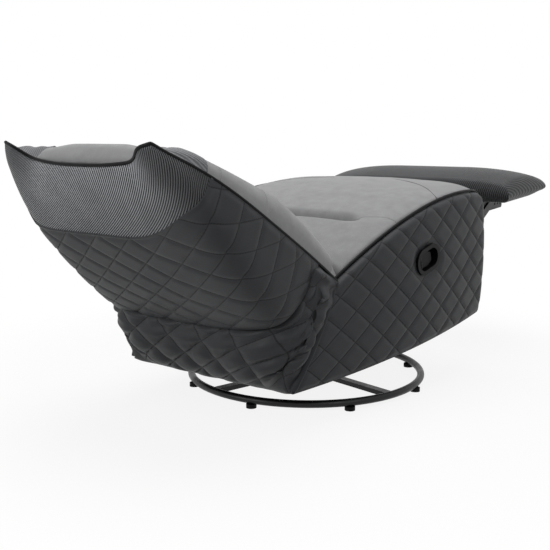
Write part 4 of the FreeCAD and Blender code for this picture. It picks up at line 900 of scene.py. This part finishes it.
class RECLINER_OT_rear_apron(bpy.types.Operator):
    """Loose quilted skirt and gussets between the seat and the backrest"""
    bl_idname = "recliner.rear_apron"
    bl_label = "Rear apron"

    def execute(self, context):
        sizes = context.scene.recliner_sizes

        def pattern(a, b):
            up = apron_spot(a, b).z / MM - 210
            across = (apron_across(a) + 0.5 * up - 65) * MM / (sizes.quilt_width * SIDE_DIAMOND)
            up = up * MM / sizes.quilt_height
            return across + up, across - up

        def lift(a, b):
            flat = ease(min(a, 1 - a) * 30) * ease(b * 4) * ease((1 - b) * 16)
            return apron_folds(a, b) + puff(*pattern(a, b), 2.3 * sizes.quilt_puff / MM, 3) * flat

        bm, spots = grid_mesh(260, 64, apron_spot, pattern)
        face_out(bm, spot(-250, 250, 0))
        raise_sheet(bm, spots, lift)
        apron = piece("rear_apron_quilted", bm, "quilted_hide", replaces=["rear_apron"])
        wall(apron, APRON_WALL)
        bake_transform(apron)
        return {"FINISHED"}


# Seat pads

SEAT_SEAM = [(280, 100), (273, 115), (241, 178), (208, 234), (166, 286), (134, 322)]


def tuck_fwd(side):
    """Where the two seat cushions meet: straight across, then a seam that swings forward to the edge."""
    return TUCK_FWD + TUCK_SWING * ease((abs(side) - TUCK_HALF - 15) / 105)


def tuck_share(side):
    """How deep the tuck is drawn at a distance from the middle, as a share."""
    return 1 - ease((abs(side) - TUCK_HALF + 25) / 60)


def seat_top(fwd, side, sizes):
    """Height of the seat's upper face, crowned and drawn down at the tuck."""
    out = min(abs(side) / (body_half(fwd) - SEAT_MARGIN), 1)
    crown = 17 * (1 - out ** 8) + sizes.seat_crown / MM * (1 - out ** 2)
    gap = fwd - tuck_fwd(side)
    round_of = TUCK_FRONT_ROUND if gap > 0 else TUCK_REAR_ROUND
    tuck = sizes.tuck_depth / MM * corner_drop(abs(gap), round_of) / round_of * tuck_share(side)
    nose = 0.7 * corner_drop(SEAT_NOSE_FWD - fwd, FRONT_TOP_ROUND)
    uneven = 1.6 * grain(spot(fwd, 0, side), 120) + 0.6 * grain(spot(fwd, 0, side), 45, 3.0)
    return seat_edge(fwd) + 2 + crown - tuck - nose + uneven


def pad_mesh(counts, half, span, rounds, top, low, lay):
    """Crowned pad, half(along) wide and span(x) long, whose walls swell by rounds(x) from low to top."""
    def place(x, y, z):
        z = math.sin(math.pi / 2 * z)
        bow = 1 - math.sqrt(max(0.0, 1 - z * z))
        start, end = span(x)
        start_round, end_round, side_round = rounds(x)
        along = between(start + start_round * bow, end - end_round * bow, (y + 1) / 2)
        side = x * (half(along) - side_round * bow)
        height = between(low(along, side), top(along, side), (z + 1) / 2)
        return lay(along, height, side)

    return block_mesh(*counts, place)


def sewn_line(name, lines, width, look, body, replaces=()):
    """Round seam, roll or piping along smooth lines of points."""
    curve = bpy.data.curves.new(name, "CURVE")
    curve.dimensions = "3D"
    curve.bevel_depth = width / 2 * MM
    curve.bevel_resolution = 3
    curve.use_fill_caps = True
    for points in lines:
        spline = curve.splines.new("NURBS")
        spline.points.add(len(points) - 1)
        for point, place in zip(spline.points, points):
            point.co = (*place, 1.0)
        spline.order_u = 3
        spline.use_endpoint_u = True
        spline.resolution_u = 6
    settle(name, curve, look, body, replaces)


def flap_spot(a, b, sizes):
    """Place on the flap in the crook: it sags between the hinge plates, rises over them, falls outside."""
    side = between(-FLAP_HALF, FLAP_HALF, a)
    out = abs(side)
    part = 0 if out < FLAP_PLATE else 1
    rise, reach = swell(out, *FLAP_RISE), swell(out, *FLAP_REACH)
    front = between(FLAP_FRONT_UP[part], max(seat_top(-236, side, sizes) + 5, FLAP_TOP), rise)
    rear = between(FLAP_REAR_UP[part], FLAP_TOP, rise)
    start = between(*FLAP_START_FWD, reach)
    end = FLAP_END[0] + FLAP_END_SLOPE * (rear - FLAP_END[1])
    sag = between(FLAP_SAG[part], -3, rise) * math.sin(math.pi * b)
    fwd = between(start, end, b)
    uneven = 1.5 * grain(spot(fwd, 0, side), 60, 7.0) * (1 - rise)
    return spot(fwd, between(front, rear, b) - sag + uneven, side)


class RECLINER_OT_seat_pads(bpy.types.Operator):
    """Rear and front seat cushions, meeting in the tuck, and the flap behind them"""
    bl_idname = "recliner.seat_pads"
    bl_label = "Seat pads"

    def execute(self, context):
        sizes = context.scene.recliner_sizes

        def tuck_at(x):
            return tuck_fwd(x * SEAT_HALF)

        def tuck_round(x):
            return 0.3 + 9 * tuck_share(x * SEAT_HALF)

        parts = [
            ("seat_cushion", 50, lambda x: (SEAT_REAR_FWD, tuck_at(x) - 0.5),
             lambda x: (12, tuck_round(x), 10)),
            ("thigh_cushion", 116, lambda x: (tuck_at(x) + 0.5, SEAT_NOSE_FWD),
             lambda x: (tuck_round(x), 12, 10)),
        ]
        for node, rows, span, rounds in parts:
            bm = pad_mesh((150, rows, 10), lambda fwd: body_half(fwd) - SEAT_MARGIN, span, rounds,
                          lambda fwd, side: seat_top(fwd, side, sizes),
                          lambda fwd, side: deck(fwd) + 7, spot)
            pad = piece(node + "_pad", bm, "soft_grey", "seat", [node])
        bm, _spots = grid_mesh(200, 20, lambda a, b: flap_spot(a, b, sizes))
        face_out(bm, spot(-272, 200, 0))
        flap = piece("crook_flap_cloth", bm, "soft_grey")
        wall(flap, CLOTH_WALL)
        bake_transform(flap)
        lines = []
        for sign in (-1, 1):
            lines.append([spot(fwd, seat_top(fwd, side, sizes) + 0.2, sign * side)
                          for fwd, side in SEAT_SEAM])
        sewn_line("seat_seams", lines, 2.0, "seam_thread", "seat")
        return {"FINISHED"}


# Back pads

def bolster(u):
    """Height of the side bolsters along the back."""
    return bolster_crest(u) - 10 * math.sin(math.pi * min(max((u - 280) / 290, 0), 1))


def back_fill(u, side, index):
    """Height of the back's padding towards the sitter: full bolsters, a hollow between, tucks across."""
    half = back_half(u) - BACK_MARGIN
    crest = bolster(u)
    crest_side = min(BOLSTER_SIDE, half - 30)
    outer = min(max((abs(side) - crest_side) / (half - crest_side), 0), 1)
    rim = crest * math.sqrt(max(0.0, 1 - outer ** 2.2))
    middle = 0.76 * crest
    if index == 2:
        middle = between(middle, 44 - 7 * ease((abs(side) - 70) / 70), ease((u - PAD_STARTS[2]) / 45))
    height = between(middle, rim, ease((abs(side) - BOLSTER_FROM) / (crest_side - BOLSTER_FROM)))
    tuck = 0.0
    for edge, depth in zip(PAD_STARTS[index:index + 2], PAD_TUCKS[index]):
        tuck += depth * math.exp(-(abs(u - edge) / PAD_TUCK_REACH) ** 1.5)
    tuck *= 1 - ease((abs(side) - 140) / 70)
    return height - tuck + 1.5 * grain(Vector((side, u, 0)) * MM, 110, 5.0)


def back_top(u, side, index):
    """Height of a back pad; the headrest falls away to the upper edge, sooner under the wing patches."""
    gap = PAD_STARTS[3] - u - 18 * ease((abs(side) - WING_INNER - 4) / 16)
    fall = HEADREST_FALL * corner_drop(gap, HEADREST_FALL) / HEADREST_FALL if index == 2 else 0.0
    return max(back_fill(u, side, index) - fall, -8)


def wing_spot(sign, a, b):
    """Place on the patch inside a wing: a from headrest to rim, b from its seam to the top edge."""
    at_top = between(WING_INNER, BACK_HALF_TOP - 4, a)
    u = between(between(516, 494, a), top_edge(sign * at_top) - 2, b)
    side = between(WING_INNER, back_half(u) - 1, a)
    level = min(u, 545)
    pad = back_fill(level, side * back_half(level) / back_half(u), 2) + 1.6
    wrinkle = 1.4 * math.sin(17 * a + 5 * b) * math.sin(math.pi * a) * math.sin(math.pi * b)
    n = between(pad, edge_depth(at_top) + 2, ease((b - 0.4) / 0.6))
    return back_spot(sign * side, u, n + wrinkle)


class RECLINER_OT_back_pads(bpy.types.Operator):
    """Lumbar, shoulder and headrest cushions with their side bolsters"""
    bl_idname = "recliner.back_pads"
    bl_label = "Back pads"

    def execute(self, context):
        def flush(x):
            gathered = 0.3 + 3.7 * (1 - ease((abs(x) - 0.45) / 0.25))
            return gathered, gathered, 6

        for index, node in enumerate(("lumbar_cushion", "shoulder_cushion", "headrest_cushion")):
            start, end = PAD_STARTS[index] + 0.3, PAD_STARTS[index + 1] - 0.3
            bm = pad_mesh((150, (70, 36, 34)[index], 12), lambda u: back_half(u) - BACK_MARGIN,
                          lambda x: (start, end), flush,
                          lambda u, side: back_top(u, side, index), lambda u, side: -12,
                          lambda u, n, side: back_spot(side, u, n))
            pad = piece(node + "_pad", bm, "soft_grey", "back", [node])
        sizes = context.scene.recliner_sizes
        seams = []
        for name, sign in (("left", 1), ("right", -1)):
            def rib_pattern(a, b):
                place = wing_spot(sign, a, b)
                return (sign * place.x * 0.7 + place.y * 0.5) / sizes.rib_pitch, 1.0

            bm, _spots = grid_mesh(40, 40, lambda a, b: wing_spot(sign, a, b), rib_pattern)
            face_out(bm, back_spot(0, 500, -60))
            patch = piece("wing_patch_" + name, bm, "ribbed_wing", "back")
            wall(patch, CLOTH_WALL)
            seams.append([wing_spot(sign, step / 8, 0.01) for step in range(9)])
        sewn_line("wing_seams", seams, 1.8, "seam_thread", "back")
        return {"FINISHED"}


# Footrest pad

class RECLINER_OT_footrest_pad(bpy.types.Operator):
    """Ribbed footrest pad on its board"""
    bl_idname = "recliner.footrest_pad"
    bl_label = "Footrest pad"

    def execute(self, context):
        sizes = context.scene.recliner_sizes

        def shrink(side):
            return 1 - REST_SHRINK * corner_drop(REST_HALF - abs(side), REST_END_ROUND) / REST_END_ROUND

        def top(ahead, side):
            share = (ahead - REST_REAR) / (REST_FRONT - REST_REAR)
            crown = between(44, 33, share) + 34 * math.sin(math.pi * min(max(share, 0), 1)) ** 0.8
            return REST_PAD_LOW + REST_WALL + crown * shrink(side)

        bm = pad_mesh((170, 80, 14), lambda ahead: REST_HALF, lambda x: (REST_REAR, REST_FRONT),
                      lambda x: REST_ROUNDS, top,
                      lambda ahead, side: REST_PAD_LOW + 7 * ease((ahead - 70) / 108), rest_spot)
        layer = bm.loops.layers.uv.new("quilt")
        for face in bm.faces:
            for loop in face.loops:
                place = loop.vert.co
                slant = place.x * 0.94 - place.y * 0.25 + place.z * 0.25
                slant /= REST_RIBS * sizes.rib_pitch
                loop[layer].uv = (slant, 1.0)
        pad = piece("footrest_pad_ribbed", bm, "ribbed_rest", "footrest", ["footrest_pad"])
        return {"FINISHED"}


# Piping

RIM_POINTS = 26


class RECLINER_OT_piping(bpy.types.Operator):
    """Piping along the seat edges and round the rim of the backrest"""
    bl_idname = "recliner.piping"
    bl_label = "Piping"

    def execute(self, context):
        sizes = context.scene.recliner_sizes
        lift = sizes.piping_diameter / MM / 2
        lines = []
        for sign in (-1, 1):
            points = []
            for step in range(20):
                fwd = between(CROOK[0], FRONT_FWD - 4, step / 19)
                drop = corner_drop(FRONT_FWD - 2 - fwd, FRONT_TOP_ROUND)
                points.append(spot(fwd, seat_edge(fwd) - drop + lift, sign * (body_half(fwd) - 11)))
            for step in range(6):
                b = between(0.96, 0.15, step / 5)
                fwd, up, tall = side_view(1, b)
                points.append(spot(fwd + 1, up, sign * (panel_side(fwd, b, tall) - 1)))
            lines.append(points)
        thick = sizes.piping_diameter / MM
        sewn_line("seat_piping_cord", lines, thick, "piping_hide", "seat", ["seat_piping"])
        rim = []
        for step in range(RIM_POINTS):
            u = between(4, top_edge(BACK_HALF_TOP) - 1, step / (RIM_POINTS - 1))
            rim.append((-back_half(u) + 2, u, lift * 0.6 + shell_place(0.0, u)[2]))
        for step in range(37):
            share = between(0.02, 0.98, step / 36)
            side, u, n = shell_place(share, shell_top(share))
            rim.append((side, u + 1, n))
        for side, u, n in reversed(rim[:RIM_POINTS]):
            rim.append((-side, u, n))
        points = [back_spot(*place) for place in rim]
        sewn_line("back_piping_cord", [points], thick, "piping_hide", "back", ["back_piping"])
        return {"FINISHED"}


# Rigid pieces as built, and copies of the springs

def bending_springs(node):
    """Copy of a pair of rocker springs between the turntable and the rocking seat, in bright steel."""
    built = frame["nodes"][node]
    mesh = built.data.copy()
    mesh.transform(built.matrix_world)
    coils = show(node + "_coils", mesh)
    for slot in coils.material_slots:
        slot.material = finish_for("bright_steel")
    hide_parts(node)
    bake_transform(coils)


class RECLINER_OT_metalwork(bpy.types.Operator):
    """Finishes of the frame, linkage, springs, timber, handle and glides"""
    bl_idname = "recliner.metalwork"
    bl_label = "Metalwork"

    def execute(self, context):
        for node in ("rocker_springs_front", "rocker_springs_rear"):
            bending_springs(node)
        for row in frame["record"]["subparts"]:
            obj = frame["nodes"][row["node"]]
            if obj.hide_render:
                continue
            finish_of = finish_for(row["material_slot"])
            if not obj.material_slots:
                obj.data.materials.append(finish_of)
            for slot in obj.material_slots:
                slot.material = finish_of
        return {"FINISHED"}


# Stage

def soft_lamp(name, place, target, width, power):
    """Soft box that looks at a target."""
    data = bpy.data.lights.new(name, "AREA")
    data.shape = "SQUARE"
    data.size = width
    data.energy = power
    lamp = show(name, data)
    lamp.location = place
    lamp.rotation_euler = (Vector(target) - Vector(place)).to_track_quat("-Z", "Y").to_euler()


def seen_directly(tree):
    """1 for camera, glossy and transmission rays, else 0."""
    rays = add(tree, "LightPath").node.outputs
    first = add(tree, "Math", {0: rays["Is Camera Ray"], 1: rays["Is Glossy Ray"]},
                operation="MAXIMUM")
    return add(tree, "Math", {0: first, 1: rays["Is Transmission Ray"]}, operation="MAXIMUM")


class RECLINER_OT_stage(bpy.types.Operator):
    """Pale floor, soft lamps, white surroundings and the camera"""
    bl_idname = "recliner.stage"
    bl_label = "Stage"

    def execute(self, context):
        scene = context.scene
        stage, colours = scene.recliner_stage, scene.recliner_colours
        scene.view_settings.view_transform = "Standard"

        bm = bmesh.new()
        bmesh.ops.create_grid(bm, x_segments=1, y_segments=1, size=40)
        mesh = bpy.data.meshes.new("studio_floor")
        bm.to_mesh(mesh)
        bm.free()
        material, tree, shader, coords = finish("pale_floor", colours.floor, 0.9, Specular_IOR_Level=0.0)
        seen = seen_directly(tree)
        wire(shader, Base_Color=add(tree, "Mix", {0: seen, 6: colours.floor_bounce, 7: colours.floor},
                                    data_type="RGBA"))
        away = add(tree, "VectorMath", {0: coords}, operation="LENGTH")
        fade = add(tree, "MapRange", {"Value": away, "From Min": 0.6, "From Max": 1.35, "To Min": 0.87,
                                      "To Max": 1.0}, interpolation_type="SMOOTHSTEP")
        glow = add(tree, "Emission", {"Color": WHITE, "Strength": 1.0})
        share = add(tree, "Math", {0: seen, 1: fade}, operation="MULTIPLY")
        mixed = add(tree, "MixShader", {0: share, 1: shader.outputs[0], 2: glow})
        tree.links.new(mixed, tree.nodes["Material Output"].inputs["Surface"])
        mesh.materials.append(material)
        floor = show("studio_floor", mesh)

        world = bpy.data.worlds.new("studio")
        scene.world = world
        world.use_nodes = True
        tree = world.node_tree
        around = tree.nodes["Background"]
        around.inputs["Color"].default_value = WHITE
        around.inputs["Strength"].default_value = 0.28
        white = add(tree, "Background", {"Color": WHITE, "Strength": 1.0})
        mixed = add(tree, "MixShader", {0: seen_directly(tree), 1: around.outputs[0], 2: white})
        tree.links.new(mixed, tree.nodes["World Output"].inputs["Surface"])

        soft_lamp("overhead", (0.1, -0.2, 3.0), (0, 0, 0.4), 2.4, 54)
        soft_lamp("rear_left", (0.8, 2.7, 0.95), (0, 0.4, 0.4), 1.2, 17)
        soft_lamp("right_side", (-2.4, 0.9, 1.6), (0, 0, 0.35), 1.4, 11)

        data = bpy.data.cameras.new("camera")
        data.lens = stage.lens
        data.sensor_width = 36
        camera = show("camera", data)
        look = Vector((math.cos(stage.heading) * math.cos(stage.pitch),
                       math.sin(stage.heading) * math.cos(stage.pitch), -math.sin(stage.pitch)))
        camera.location = stage.stand
        camera.rotation_euler = look.to_track_quat("-Z", "Y").to_euler()
        scene.camera = camera
        return {"FINISHED"}


class RECLINER_PT_panel(bpy.types.Panel):
    """Lists the pieces of the recliner"""
    bl_idname = "RECLINER_PT_panel"
    bl_label = "Recliner"
    bl_space_type = "VIEW_3D"
    bl_region_type = "UI"
    bl_category = "Recliner"

    def draw(self, context):
        for operator in OPERATORS:
            self.layout.operator(operator.bl_idname)
        scene = context.scene
        for group in (scene.recliner_sizes, scene.recliner_colours, scene.recliner_stage):
            for key in group.__annotations__:
                self.layout.prop(group, key)


OPERATORS = (RECLINER_OT_back_shell, RECLINER_OT_side_covers, RECLINER_OT_rear_apron, RECLINER_OT_seat_pads,
             RECLINER_OT_back_pads, RECLINER_OT_footrest_pad, RECLINER_OT_piping, RECLINER_OT_metalwork,
             RECLINER_OT_stage)
CLASSES = (ReclinerSizes, ReclinerColours, ReclinerStage) + OPERATORS + (RECLINER_PT_panel,)


def register():
    for cls in CLASSES:
        bpy.utils.register_class(cls)
    bpy.types.Scene.recliner_sizes = bpy.props.PointerProperty(type=ReclinerSizes)
    bpy.types.Scene.recliner_colours = bpy.props.PointerProperty(type=ReclinerColours)
    bpy.types.Scene.recliner_stage = bpy.props.PointerProperty(type=ReclinerStage)


def unregister():
    for key in ("recliner_sizes", "recliner_colours", "recliner_stage"):
        delattr(bpy.types.Scene, key)
    for cls in reversed(CLASSES):
        bpy.utils.unregister_class(cls)


def main():
    register()
    bpy.ops.recliner.back_shell()
    bpy.ops.recliner.side_covers()
    bpy.ops.recliner.rear_apron()
    bpy.ops.recliner.seat_pads()
    bpy.ops.recliner.back_pads()
    bpy.ops.recliner.footrest_pad()
    bpy.ops.recliner.piping()
    bpy.ops.recliner.metalwork()
    bpy.ops.recliner.stage()


if __name__ == "__main__":
    main()
